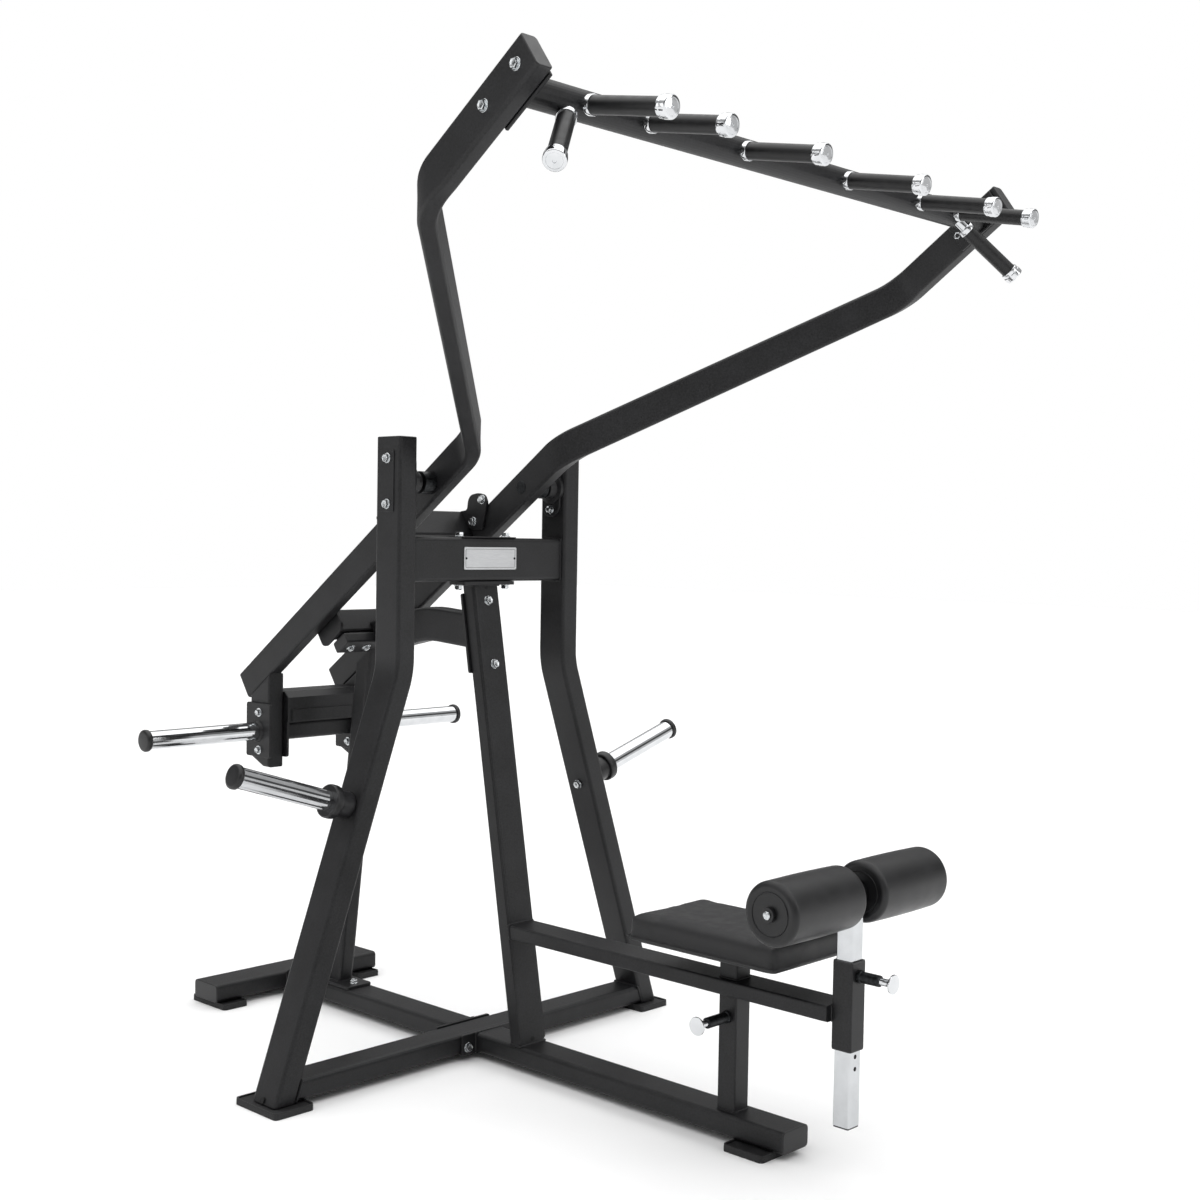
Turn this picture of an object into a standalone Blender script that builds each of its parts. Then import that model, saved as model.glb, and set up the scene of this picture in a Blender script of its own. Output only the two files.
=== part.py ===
"""Plate-loaded lat pulldown machine, modelled in metres with +Z up.

The floor is Z = 0 and the machine is symmetric about X = 0. The seat and the thigh rollers are
towards -Y and the plate sleeves towards +Y. The dimensions below measure Y from the uprights'
mid-plane, where the lever pivots, and SHIFT_Y then puts the origin under the middle of the
whole machine's plan.
"""
import math

import bmesh
import bpy
from mathutils import Matrix, Vector

# ---------------------------------------------------------------- driving dimensions (m)
GAP = 0.0003                      # clearance between touching pieces
SHIFT_Y = 0.18905                 # uprights' mid-plane in front of or behind the origin
WALL = 0.003                      # wall of the frame tubes
EDGE = 0.010                      # outer corner radius of the rectangular tubes

FOOT_T = 0.0157                   # thickness of the rubber foot plates
BASE_Z0, BASE_Z1 = 0.016, 0.066   # base tubes, 50 mm tall
BASE_W = 0.090                    # base tubes, 90 mm wide
BASE_FRONT, BASE_REAR = -1.028, 0.762
REAR_FOOT_Y, REAR_FOOT_X = (0.7623, 0.872), 0.278

POST_X, POST_TOP = 0.2825, 1.568  # centreline and top of an upright
POST_W, POST_D = 0.057, 0.092     # across X and along Y
POST_BEND_Z, POST_FOOT_X = 1.000, 0.626
POST_BEND_R = 0.20

BEAM_Z, BEAM_Y = (1.219, 1.330), (-0.033, 0.027)
PLATE_SIZE = (0.180, 0.0015, 0.057)

STRUT_SLOPE, STRUT_FOOT_Y = 0.1724, -0.196
STRUT_HALF_Y, STRUT_HALF_X = 0.0203, 0.0435

REAR_SLOPE, REAR_FOOT_FACE = -0.1285, 0.5431   # front face of the rear post at the base top
REAR_DEPTH = 0.060

PIVOT_Z = 1.464
ARM_X, ARM_W, ARM_H = 0.156, 0.040, 0.080
LEVER_W = 0.050
ARM_SLOPE = 0.707                 # fall of the lower arm towards the rear
ARM_WALL, ARM_EDGE, ARM_BEND_R = 0.0025, 0.008, 0.130
ARM_REAR_Y = 0.795                # rear end of the lower arm's centreline
ARM_FORK_Y = -0.139               # where the arms splay outwards
ARM_ELBOW, ARM_TIP = (0.8085, -0.7165, 1.980), 0.360
SHAFT_R, BEARING_BORE = 0.0150, 0.0151
BAR_Y, BAR_Z, BAR_R = -0.950, 2.140, 0.0300
GRIP_X = (0.643, 0.475, 0.180)
GRIP_R, GRIP_LEN = 0.0175, 0.172
GRIP_TILT = math.radians(10.5)

SLEEVE_R = 0.0250
SLEEVE_Y, SLEEVE_Z, SLEEVE_END = 0.713, 0.779, 0.533
UPPER_TIE = ((0.224, 0.264), (0.0025, 0.0825))      # ties and stop beam: reach along the lower
MIDDLE_TIE = ((0.561, 0.611), (-0.082, -0.012))     # arm from the pivot, and height square to
STOP_BEAM = ((0.560, 0.618), (-0.1195, -0.0875))    # the arm from its centreline
STOP_BEAM_X = 0.122
STORE_Z, STORE_LEN = 0.674, 0.325
STORE_DROP = math.radians(1.7)    # how far the storage sleeves droop from square to the legs

RAIL_Z, RAIL_HALF_X = (0.328, 0.363), 0.043
SEAT_POST_Y, THIGH_POST_Y = -0.856, -1.1605
SQ_OUT, SQ_IN = 0.050, 0.040
ROLLER_Z, ROLLER_R, ROLLER_X = 0.597, 0.0665, (0.031, 0.278)
AXLE_R = 0.0140

MAIN = bpy.data.collections.new("lat_pulldown")
CUTS = bpy.data.collections.new("cutters")


# ---------------------------------------------------------------- scene and materials
def clear_scene():
    """Remove every object and link the two collections used below."""
    for ob in list(bpy.data.objects):
        bpy.data.objects.remove(ob, do_unlink=True)
    for col in (MAIN, CUTS):
        bpy.context.scene.collection.children.link(col)


def finish(name, colour, rough, metal):
    """Return a new Principled material."""
    mat = bpy.data.materials.new(name)
    mat.use_nodes = True
    shader = mat.node_tree.nodes["Principled BSDF"]
    shader.inputs["Base Color"].default_value = (*colour, 1.0)
    shader.inputs["Roughness"].default_value = rough
    shader.inputs["Metallic"].default_value = metal
    return mat


LOOKS = {
    "powder_coat": ((0.018, 0.018, 0.019), 0.55, 0.0),
    "chrome": ((0.78, 0.79, 0.80), 0.12, 1.0),
    "rubber": ((0.012, 0.012, 0.012), 0.80, 0.0),
    "vinyl": ((0.014, 0.014, 0.015), 0.45, 0.0),
    "foam": ((0.016, 0.016, 0.017), 0.60, 0.0),
    "plate": ((0.62, 0.63, 0.64), 0.35, 1.0),
}


def place(name, mesh, look, origin=(0, 0, 0)):
    """Link a mesh as the named piece, with its origin at the given point."""
    origin = Vector(origin)
    mesh.transform(Matrix.Translation(-origin))
    origin.y += SHIFT_Y
    mesh.name = name
    mesh.materials.clear()
    mesh.materials.append(finish(name, *LOOKS[look]))
    ob = bpy.data.objects.new(name, mesh)
    ob.location = origin
    MAIN.objects.link(ob)
    return ob


# ---------------------------------------------------------------- shape helpers
def rounded(half_u, half_v, radius, steps=4):
    """Corner points of a rounded rectangle, anticlockwise."""
    pts = []
    for k, (su, sv) in enumerate(((1, 1), (-1, 1), (-1, -1), (1, -1))):
        cu, cv = su * (half_u - radius), sv * (half_v - radius)
        for i in range(steps + 1):
            ang = math.pi / 2 * (k + i / steps)
            pts.append((cu + radius * math.cos(ang), cv + radius * math.sin(ang)))
    return pts


def fillet(points, radius, steps=6):
    """Round the inner corners of a 2D or 3D polyline with arcs of the given radius.

    A point 4 mm outside each arc keeps a swept section square along the straight runs.
    """
    pts = [Vector(p) for p in points]
    out = [pts[0]]
    for a, b, c in zip(pts, pts[1:], pts[2:]):
        u, v = (a - b).normalized(), (c - b).normalized()
        half = math.acos(max(-1.0, min(1.0, u.dot(v)))) / 2
        reach = radius / math.tan(half)
        centre = b + (u + v).normalized() * (radius / math.sin(half))
        p0, p1 = b + u * reach - centre, b + v * reach - centre
        turn = p0.angle(p1)
        out.append(b + u * (reach + 0.004))
        for i in range(steps + 1):
            t = i / steps
            mix = p0 * math.sin((1 - t) * turn) + p1 * math.sin(t * turn)
            out.append(centre + mix / math.sin(turn))
        out.append(b + v * (reach + 0.004))
    out.append(pts[-1])
    return out


def flat_curve(loops, half):
    """Return the mesh of closed 2D loops, filled and extruded by half each way along local Z."""
    data = bpy.data.curves.new("outline", "CURVE")
    data.dimensions, data.fill_mode, data.extrude = "2D", "BOTH", half
    for loop in loops:
        line = data.splines.new("POLY")
        line.points.add(len(loop) - 1)
        line.use_cyclic_u = True
        for point, (u, v) in zip(line.points, loop):
            point.co = (u, v, 0, 1)
    ob = bpy.data.objects.new("outline", data)
    bpy.context.scene.collection.objects.link(ob)
    bpy.context.view_layer.update()
    mesh = bpy.data.meshes.new_from_object(ob.evaluated_get(bpy.context.evaluated_depsgraph_get()))
    bpy.data.objects.remove(ob)
    bpy.data.curves.remove(data)
    bm = bmesh.new()
    bm.from_mesh(mesh)
    bmesh.ops.remove_doubles(bm, verts=bm.verts, dist=0.00002)
    bmesh.ops.recalc_face_normals(bm, faces=bm.faces)
    bm.to_mesh(mesh)
    bm.free()
    return mesh


AXES = {"X": Matrix(((0, 0, 1), (1, 0, 0), (0, 1, 0))).to_4x4(),     # local (u, v, w) -> (w, u, v)
        "Y": Matrix(((1, 0, 0), (0, 0, -1), (0, 1, 0))).to_4x4(),    # -> (u, -w, v)
        "Z": Matrix.Identity(4)}


def prism(loops, half, axis, centre=0.0):
    """Extrude outlines along an axis: u, v are Y, Z for X; X, Z for Y; and X, Y for Z."""
    mesh = flat_curve(loops, half)
    mesh.transform(AXES[axis])
    shift = {"X": (centre, 0, 0), "Y": (0, centre, 0), "Z": (0, 0, centre)}[axis]
    mesh.transform(Matrix.Translation(shift))
    return mesh


def tube(axis, lo, hi, wall=WALL, edge=EDGE):
    """Rectangular hollow tube between two corners, open at both ends."""
    lo, hi = Vector(lo), Vector(hi)
    mid, half = (lo + hi) / 2, (hi - lo) / 2
    u, v, w = {"X": (1, 2, 0), "Y": (0, 2, 1), "Z": (0, 1, 2)}[axis]
    loops = [rounded(half[u], half[v], edge)]
    if wall:
        loops.append(rounded(half[u] - wall, half[v] - wall, edge - wall, 2))
    mesh = flat_curve(loops, half[w])
    mesh.transform(Matrix.Translation(mid) @ AXES[axis])
    return mesh


def sweep(path, half_u, half_v, edge):
    """Sweep a rounded rectangle, kept upright in Z, along a 3D path and leave the ends open."""
    data = bpy.data.curves.new("path", "CURVE")
    data.dimensions, data.twist_mode, data.use_fill_caps = "3D", "Z_UP", False
    line = data.splines.new("POLY")
    line.points.add(len(path) - 1)
    for point, p in zip(line.points, path):
        point.co = (*p, 1)
    shape = bpy.data.curves.new("section", "CURVE")
    shape.dimensions = "2D"
    ring = rounded(half_u, half_v, edge)
    sec = shape.splines.new("POLY")
    sec.points.add(len(ring) - 1)
    sec.use_cyclic_u = True
    for point, (u, v) in zip(sec.points, ring):
        point.co = (u, v, 0, 1)
    section = bpy.data.objects.new("section", shape)
    curve = bpy.data.objects.new("path", data)
    for ob in (section, curve):
        bpy.context.scene.collection.objects.link(ob)
    data.bevel_mode, data.bevel_object = "OBJECT", section
    bpy.context.view_layer.update()
    graph = bpy.context.evaluated_depsgraph_get()
    mesh = bpy.data.meshes.new_from_object(curve.evaluated_get(graph))
    for ob in (curve, section):
        bpy.data.objects.remove(ob)
    bm = bmesh.new()
    bm.from_mesh(mesh)
    bmesh.ops.remove_doubles(bm, verts=bm.verts, dist=0.00002)
    bmesh.ops.recalc_face_normals(bm, faces=bm.faces)
    bm.to_mesh(mesh)
    bm.free()
    return mesh


def hollow(ob, wall):
    """Give a swept piece its wall, inwards from the surface."""
    mod = ob.modifiers.new("wall", "SOLIDIFY")
    mod.thickness, mod.offset, mod.use_rim = wall, -1, True


def block(lo, hi, edge=0.0, segments=2):
    """Solid box with optionally rounded edges."""
    lo, hi = Vector(lo), Vector(hi)
    bm = bmesh.new()
    bmesh.ops.create_cube(bm, size=1.0)
    bmesh.ops.scale(bm, vec=hi - lo, verts=bm.verts)
    bmesh.ops.translate(bm, vec=(lo + hi) / 2, verts=bm.verts)
    if edge:
        bmesh.ops.bevel(bm, geom=bm.edges[:], offset=edge, segments=segments, profile=0.5,
                        affect="EDGES")
    mesh = bpy.data.meshes.new("block")
    bm.to_mesh(mesh)
    bm.free()
    return mesh


def soften(mesh, edge, side_axis, end_axis=None, segments=3):
    """Round the edges of a prism's two flat sides, the faces square to side_axis.

    The edges of the ends, the faces nearly square to end_axis, stay sharp.
    """
    bm = bmesh.new()
    bm.from_mesh(mesh)
    bm.normal_update()
    k = "XYZ".index(side_axis)
    sides = {f for f in bm.faces if abs(f.normal[k]) > 0.999}
    ends = {f for f in bm.faces if end_axis and abs(f.normal["XYZ".index(end_axis)]) > 0.75}
    edges = [e for e in bm.edges if sum(f in sides for f in e.link_faces) == 1
             and not any(f in ends for f in e.link_faces)]
    bmesh.ops.bevel(bm, geom=edges, offset=edge, segments=segments, profile=0.5, affect="EDGES")
    bm.to_mesh(mesh)
    bm.free()
    return mesh


def rod(start, end, radius, bore=0.0, sides=32):
    """Solid rod, or a ring when bore is given, between two points."""
    start, end = Vector(start), Vector(end)
    loops = [[(r * math.cos(2 * math.pi * i / sides), r * math.sin(2 * math.pi * i / sides))
              for i in range(sides)] for r in (radius, bore) if r]
    mesh = flat_curve(loops, (end - start).length / 2)
    turn = Vector((0, 0, 1)).rotation_difference(end - start).to_matrix().to_4x4()
    mesh.transform(Matrix.Translation((start + end) / 2) @ turn)
    return smooth(mesh)


def smooth(mesh):
    """Smooth shading with sharp rims."""
    mesh.shade_smooth()
    mesh.set_sharp_from_angle(angle=math.radians(35))
    return mesh


def turned(profile, steps=32):
    """Screw a radius/height profile, outer side first, around local Z and close it."""
    mesh = bpy.data.meshes.new("turned")
    bm = bmesh.new()
    verts = [bm.verts.new((r, 0, h)) for r, h in profile]
    for a, b in zip(verts, verts[1:] + verts[:1]):
        bm.edges.new((a, b))
    bm.to_mesh(mesh)
    bm.free()
    ob = bpy.data.objects.new("turned", mesh)
    bpy.context.scene.collection.objects.link(ob)
    mod = ob.modifiers.new("screw", "SCREW")
    mod.axis, mod.angle, mod.steps, mod.render_steps = "Z", math.tau, steps, steps
    mod.use_merge_vertices, mod.merge_threshold = True, 0.00005
    bpy.context.view_layer.update()
    out = bpy.data.meshes.new_from_object(ob.evaluated_get(bpy.context.evaluated_depsgraph_get()))
    bpy.data.objects.remove(ob)
    bm = bmesh.new()
    bm.from_mesh(out)
    bmesh.ops.remove_doubles(bm, verts=bm.verts, dist=0.00002)
    bmesh.ops.recalc_face_normals(bm, faces=bm.faces)
    bm.to_mesh(out)
    bm.free()
    return smooth(out)


def aim(mesh, origin, direction):
    """Turn a mesh's local Z to a direction and move it to a point."""
    turn = Vector((0, 0, 1)).rotation_difference(Vector(direction)).to_matrix().to_4x4()
    mesh.transform(Matrix.Translation(Vector(origin)) @ turn)
    return mesh


def cut(ob, cutter_mesh, name):
    """Subtract a hidden cutter from a piece and bake the result."""
    cutter = bpy.data.objects.new(name, cutter_mesh)
    cutter.location.y = SHIFT_Y
    cutter.hide_render = True
    cutter.display_type = "WIRE"
    CUTS.objects.link(cutter)
    mod = ob.modifiers.new(name, "BOOLEAN")
    mod.operation, mod.solver, mod.object = "DIFFERENCE", "EXACT", cutter
    return ob


def mirror_x(mesh):
    """Return a copy of the mesh mirrored across X = 0."""
    copy = mesh.copy()
    copy.transform(Matrix.Scale(-1, 4, (1, 0, 0)))
    copy.flip_normals()
    return copy


def pair(name, mesh, look, origin=(0, 0, 0)):
    """Place a +X piece as name_right and its mirror image as name_left."""
    x, y, z = origin
    other = mirror_x(mesh)
    return (place(name + "_left", other, look, (-x, y, z)),
            place(name + "_right", mesh, look, (x, y, z)))


# ---------------------------------------------------------------- base
def build_base():
    """Floor tubes and the plates that they stand on."""
    w = BASE_W / 2
    place("base_front_beam", tube("Y", (-w, BASE_FRONT, BASE_Z0), (w, -w - GAP, BASE_Z1)),
          "powder_coat")
    place("base_rear_beam", tube("Y", (-w, w + GAP, BASE_Z0), (w, BASE_REAR, BASE_Z1)),
          "powder_coat")
    place("rear_foot_beam", tube("X", (-REAR_FOOT_X, REAR_FOOT_Y[0], BASE_Z0),
                                 (REAR_FOOT_X, REAR_FOOT_Y[1], BASE_Z1)), "powder_coat")

    def inner_face(z):
        return post_centre(z) - POST_W / 2 / math.cos(leg_angle()) - 2 * GAP

    outline = [(-inner_face(BASE_Z0), BASE_Z0), (inner_face(BASE_Z0), BASE_Z0),
               (inner_face(BASE_Z1), BASE_Z1), (-inner_face(BASE_Z1), BASE_Z1)]
    beam = place("base_cross_beam", soften(prism([outline], w, "Y"), EDGE, "Y", "X"), "powder_coat")
    inside = tube("X", (-0.7, -w + WALL, BASE_Z0 + WALL), (0.7, w - WALL, BASE_Z1 - WALL), 0,
                  EDGE - WALL)
    cut(beam, inside, "cross_beam_bore")

    for name, lo, hi in (("foot_front", (-0.080, -1.002), (0.080, -0.892)),
                         ("foot_left", (-0.675, -0.075), (-0.565, 0.087)),
                         ("foot_right", (0.565, -0.075), (0.675, 0.087)),
                         ("foot_rear_left", (-0.275, 0.735), (-0.195, 0.895)),
                         ("foot_rear_right", (0.195, 0.735), (0.275, 0.895))):
        place(name, block((*lo, 0.0), (*hi, FOOT_T), 0.004), "rubber")


def leg_angle():
    """Splay of the legs from the vertical."""
    return math.atan2(POST_FOOT_X - POST_X, POST_BEND_Z - BASE_Z0)


def post_centre(z):
    """X of the right leg's centreline at a height below the bend."""
    return POST_FOOT_X - (z - BASE_Z0) * math.tan(leg_angle())


def offset_path(path, dist):
    """Offset a 2D polyline to its left by a distance, mitred at its points."""
    out = []
    for i, p in enumerate(path):
        a = path[max(i - 1, 0)]
        b = path[min(i + 1, len(path) - 1)]
        into = (p - a).normalized() if i else (b - p).normalized()
        away = (b - p).normalized() if i < len(path) - 1 else into
        n = Vector((-(into + away).y, (into + away).x)).normalized()
        out.append(p + n * dist / max(0.5, n.dot(Vector((-into.y, into.x)))))
    return out


def build_uprights():
    """Splayed legs that bend up into vertical posts, with the beam between them."""
    line = fillet([(post_centre(BASE_Z0 - 0.1), BASE_Z0 - 0.1), (POST_X, POST_BEND_Z),
                   (POST_X, POST_TOP)], POST_BEND_R, 8)
    mesh = sweep([(p.x, p.y, 0) for p in line], POST_W / 2, POST_D / 2, EDGE)
    mesh.transform(Matrix.Rotation(math.pi / 2, 4, "X"))
    for ob in pair("post", mesh, "powder_coat"):
        hollow(ob, WALL)
        cut(ob, block((-1, -0.1, -0.3), (1, 0.1, BASE_Z0)), "floor_cut_" + ob.name)
    edge_x = POST_X - POST_W / 2 - GAP
    place("upper_crossbeam", tube("X", (-edge_x, BEAM_Y[0], BEAM_Z[0]),
                                  (edge_x, BEAM_Y[1], BEAM_Z[1])), "powder_coat")
    px, py, pz = PLATE_SIZE
    place("nameplate", block((-px / 2, BEAM_Y[0] - GAP - py, 1.249),
                             (px / 2, BEAM_Y[0] - GAP, 1.249 + pz)), "plate")


def strut_y(z):
    """Y of the strut's centreline at a height."""
    return STRUT_FOOT_Y + (z - BASE_Z1) * STRUT_SLOPE


def rear_face(z):
    """Y of the rear post's front face at a height."""
    return REAR_FOOT_FACE + (z - BASE_Z1) * REAR_SLOPE


def leaning(y_of, z0, z1, half, wall):
    """Outer and inner outlines, in Y and Z, of a leaning post."""
    outer = [(y_of(z0) - half, z0), (y_of(z0) + half, z0),
             (y_of(z1) + half, z1), (y_of(z1) - half, z1)]
    inner = [(y_of(z0 - 0.05) - half + wall, z0 - 0.05), (y_of(z0 - 0.05) + half - wall, z0 - 0.05),
             (y_of(z1 + 0.05) + half - wall, z1 + 0.05), (y_of(z1 + 0.05) - half + wall, z1 + 0.05)]
    return outer, inner


def along_arm(reach, height):
    """Y and Z of a point given along the lower arm from the pivot and square to the arm."""
    slope = math.atan(ARM_SLOPE)
    return (reach * math.cos(slope) + height * math.sin(slope),
            PIVOT_Z - reach * math.sin(slope) + height * math.cos(slope))


def arm_tube(span, half_x):
    """Tube across the machine whose section is square to the lower arm."""
    (r0, r1), (h0, h1) = span
    mesh = tube("X", (-half_x, -(r1 - r0) / 2, -(h1 - h0) / 2),
                (half_x, (r1 - r0) / 2, (h1 - h0) / 2), WALL, 0.006)
    mesh.transform(Matrix.Rotation(-math.atan(ARM_SLOPE), 4, "X"))
    mesh.transform(Matrix.Translation((0, *along_arm((r0 + r1) / 2, (h0 + h1) / 2))))
    return mesh


def build_columns():
    """The leaning strut, the rear post, the spine between them and the stop beam they carry."""
    outer, inner = leaning(strut_y, BASE_Z1 + GAP, BEAM_Z[0] - 2 * GAP, STRUT_HALF_Y, WALL)
    strut = place("strut", soften(prism([outer], STRUT_HALF_X, "X"), EDGE, "X", "Z"),
                  "powder_coat")
    cut(strut, soften(prism([inner], STRUT_HALF_X - WALL, "X"), EDGE - WALL, "X", "Z", 2),
        "strut_bore")

    def rear_top(face):
        """Point of a line parallel to the rear post's front where the stop beam rests on it."""
        low = along_arm(0.0, STOP_BEAM[1][0] - GAP)
        # the beam's underside is z = low_z - ARM_SLOPE (y - low_y); the post's face is y = f(z)
        z = (low[1] + ARM_SLOPE * (low[0] - face - REAR_FOOT_FACE + BASE_Z1 * REAR_SLOPE)) / (
            1 + ARM_SLOPE * REAR_SLOPE)
        return rear_face(z) + face, z

    def behind(face, z):
        return rear_face(z) + face, z

    foot = BASE_Z1 + GAP
    outer = [behind(0, foot), behind(REAR_DEPTH, foot), rear_top(REAR_DEPTH), rear_top(0)]
    post = place("rear_post", soften(prism([outer], SQ_OUT / 2, "X"), EDGE, "X", "Z"),
                 "powder_coat")
    inner = [behind(WALL, 0.0), behind(REAR_DEPTH - WALL, 0.0),
             behind(REAR_DEPTH - WALL, 1.10), behind(WALL, 1.10)]
    cut(post, soften(prism([inner], SQ_OUT / 2 - WALL, "X"), EDGE - WALL, "X", "Z", 2),
        "rear_post_bore")

    start = strut_y(1.090) + STRUT_HALF_Y
    path = fillet([(start - 0.06, 1.0852), (0.189, 1.103), (0.50, 1.034)], 0.30, 4)

    def beam_face(z):
        """Y of the plane of the stop beam's front face at a height."""
        slope = math.atan(ARM_SLOPE)
        return (STOP_BEAM[0][0] - GAP + (z - PIVOT_Z) * math.sin(slope)) / math.cos(slope)

    mesh = sweep([(p.x, p.y, 0) for p in path], 0.045, SQ_OUT / 2, EDGE)
    mesh.transform(AXES["X"])
    ob = place("spine", mesh, "powder_coat")
    hollow(ob, WALL)
    low, high = 0.9, 1.3

    def strut_back(z):
        return strut_y(z) + STRUT_HALF_Y + GAP

    ahead = [(-0.3, low), (strut_back(low), low), (strut_back(high), high), (-0.3, high)]
    astern = [(beam_face(low), low), (0.9, low), (0.9, high), (beam_face(high), high)]
    cut(ob, prism([ahead], 0.1, "X"), "spine_front_cut")
    cut(ob, prism([astern], 0.1, "X"), "spine_rear_cut")

    place("stop_beam", arm_tube(STOP_BEAM, STOP_BEAM_X), "powder_coat")
    top, under = STOP_BEAM[1][1] + GAP, MIDDLE_TIE[1][0] - GAP
    pad = [along_arm(r, h) for r, h in ((0.568, top), (0.604, top), (0.604, under),
                                        (0.568, under))]
    pair("stop_pad", prism([pad], 0.020, "X", 0.080), "rubber")


def arm_centre(y):
    """Height of the lower arm's centreline."""
    return PIVOT_Z - ARM_SLOPE * y


def arm_under(y):
    """Height of the lower arm's underside."""
    return arm_centre(y) - ARM_H / 2 * math.hypot(1, ARM_SLOPE)


# ---------------------------------------------------------------- pull arm
def build_arms():
    """Bent hollow arms, their lever brackets, ties, shafts, sleeves and counterweight."""
    slope = math.atan(ARM_SLOPE)
    tip = Vector(ARM_ELBOW) + Vector((0, -math.cos(slope), math.sin(slope))) * ARM_TIP
    path = fillet([(ARM_X, ARM_REAR_Y, arm_centre(ARM_REAR_Y)),
                   (ARM_X, ARM_FORK_Y, arm_centre(ARM_FORK_Y)), ARM_ELBOW, tip], ARM_BEND_R, 9)
    mesh = sweep(path, ARM_W / 2, ARM_H / 2, ARM_EDGE)
    for ob in pair("arm", mesh, "powder_coat", (ARM_X, 0, PIVOT_Z)):
        hollow(ob, ARM_WALL)

    y0, y1 = 0.668, 0.758
    lever = [(y0, 0.680), (y1 - 0.060, 0.680), (y1, 0.706), (y1, arm_under(y1) - GAP),
             (y0, arm_under(y0) - GAP)]
    pair("lever_bracket", soften(prism([lever], LEVER_W / 2, "X", ARM_X), 0.007, "X"),
         "powder_coat")

    face = ARM_X - ARM_W / 2 - GAP
    place("upper_tie", arm_tube(UPPER_TIE, face), "powder_coat")
    place("middle_tie", arm_tube(MIDDLE_TIE, face), "powder_coat")
    face = ARM_X - LEVER_W / 2 - GAP
    place("lower_tie", tube("X", (-face, 0.690, 0.750), (face, 0.740, 0.800)), "powder_coat")
    weight = [(0.648, 0.803), (0.752, 0.803), (0.752, 0.890), (0.668, 0.890), (0.648, 0.874)]
    place("counterweight", soften(prism([weight], face, "X"), 0.003, "X"), "powder_coat")

    outer = ARM_X + LEVER_W / 2 + GAP
    pair("weight_sleeve", rod((outer, SLEEVE_Y, SLEEVE_Z), (SLEEVE_END, SLEEVE_Y, SLEEVE_Z),
                              SLEEVE_R), "chrome")
    outer = ARM_X + ARM_W / 2 + GAP
    length = POST_X - POST_W / 2 - 0.002 - outer
    shaft = [(0.028, 0.036), (0.028, 0.0), (0.0, 0.0), (0.0, length), (SHAFT_R, length),
             (SHAFT_R, 0.036)]
    pair("pivot_shaft", aim(turned(shaft), (outer, 0, PIVOT_Z), (1, 0, 0)), "chrome",
         (ARM_X, 0, PIVOT_Z))


def build_bearings():
    """Flanged bearing housings on the posts' inner faces, bored for the pivot shafts."""
    face = POST_X - POST_W / 2 - GAP
    ring = [(0.041, 0.0), (0.041, 0.010), (0.030, 0.013), (0.026, 0.032), (BEARING_BORE, 0.032),
            (BEARING_BORE, 0.0)]
    pair("bearing", aim(turned(ring[::-1]), (face, 0, PIVOT_Z), (-1, 0, 0)), "powder_coat")


def build_bar():
    """Pull bar between the arm tips, its end flanges and the handgrips."""
    end = ARM_ELBOW[0] - ARM_W / 2 - 0.0086
    place("pull_bar", rod((-end, BAR_Y, BAR_Z), (end, BAR_Y, BAR_Z), BAR_R, BAR_R - WALL),
          "powder_coat")
    turn = Matrix.Rotation(-math.atan(ARM_SLOPE), 4, "X")
    plate = block((-0.004, -0.070, -0.037), (0.004, 0.070, 0.037), 0.002, 1)
    plate.transform(Matrix.Translation((end + GAP + 0.004, BAR_Y, BAR_Z)) @ turn)
    pair("bar_flange", plate, "powder_coat")

    tilt = Vector((0, -math.cos(GRIP_TILT), -math.sin(GRIP_TILT)))
    number = 2
    for x in GRIP_X:
        start = Vector((x, BAR_Y, BAR_Z)) + tilt * (BAR_R + 0.0012)
        mesh = rod(start, start + tilt * (GRIP_LEN + 0.035), GRIP_R)
        place("grip_%d" % (9 - number), mesh, "rubber")
        place("grip_%d" % number, mirror_x(mesh), "rubber")
        number += 1
    splay = Vector((0.142, -0.104, -0.147)).normalized()
    neck, length = 0.0235, 0.182
    stem = [(0.010, neck), (0.010, 0.0), (0.0, 0.0), (0.0, length), (GRIP_R, length),
            (GRIP_R, neck)]
    mesh = aim(turned(stem), Vector((0.658, BAR_Y, BAR_Z)) + splay * 0.0475, splay)
    place("grip_8", mesh, "rubber")
    place("grip_1", mirror_x(mesh), "rubber")


# ---------------------------------------------------------------- seat and thigh rollers
def square_tube(y, z0, z1):
    """Hollow square guide tube, open at both ends."""
    h, b = SQ_OUT / 2, SQ_IN / 2 + GAP
    outer = [(u, v + y) for u, v in rounded(h, h, 0.004)]
    inner = [(b, y + b), (-b, y + b), (-b, y - b), (b, y - b)]
    return prism([outer, inner], (z1 - z0) / 2, "Z", (z0 + z1) / 2)


def square_bar(y, z0, z1):
    """Square sliding post with rounded corners."""
    loop = [(u, v + y) for u, v in rounded(SQ_IN / 2, SQ_IN / 2, 0.003)]
    return prism([loop], (z1 - z0) / 2, "Z", (z0 + z1) / 2)


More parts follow.
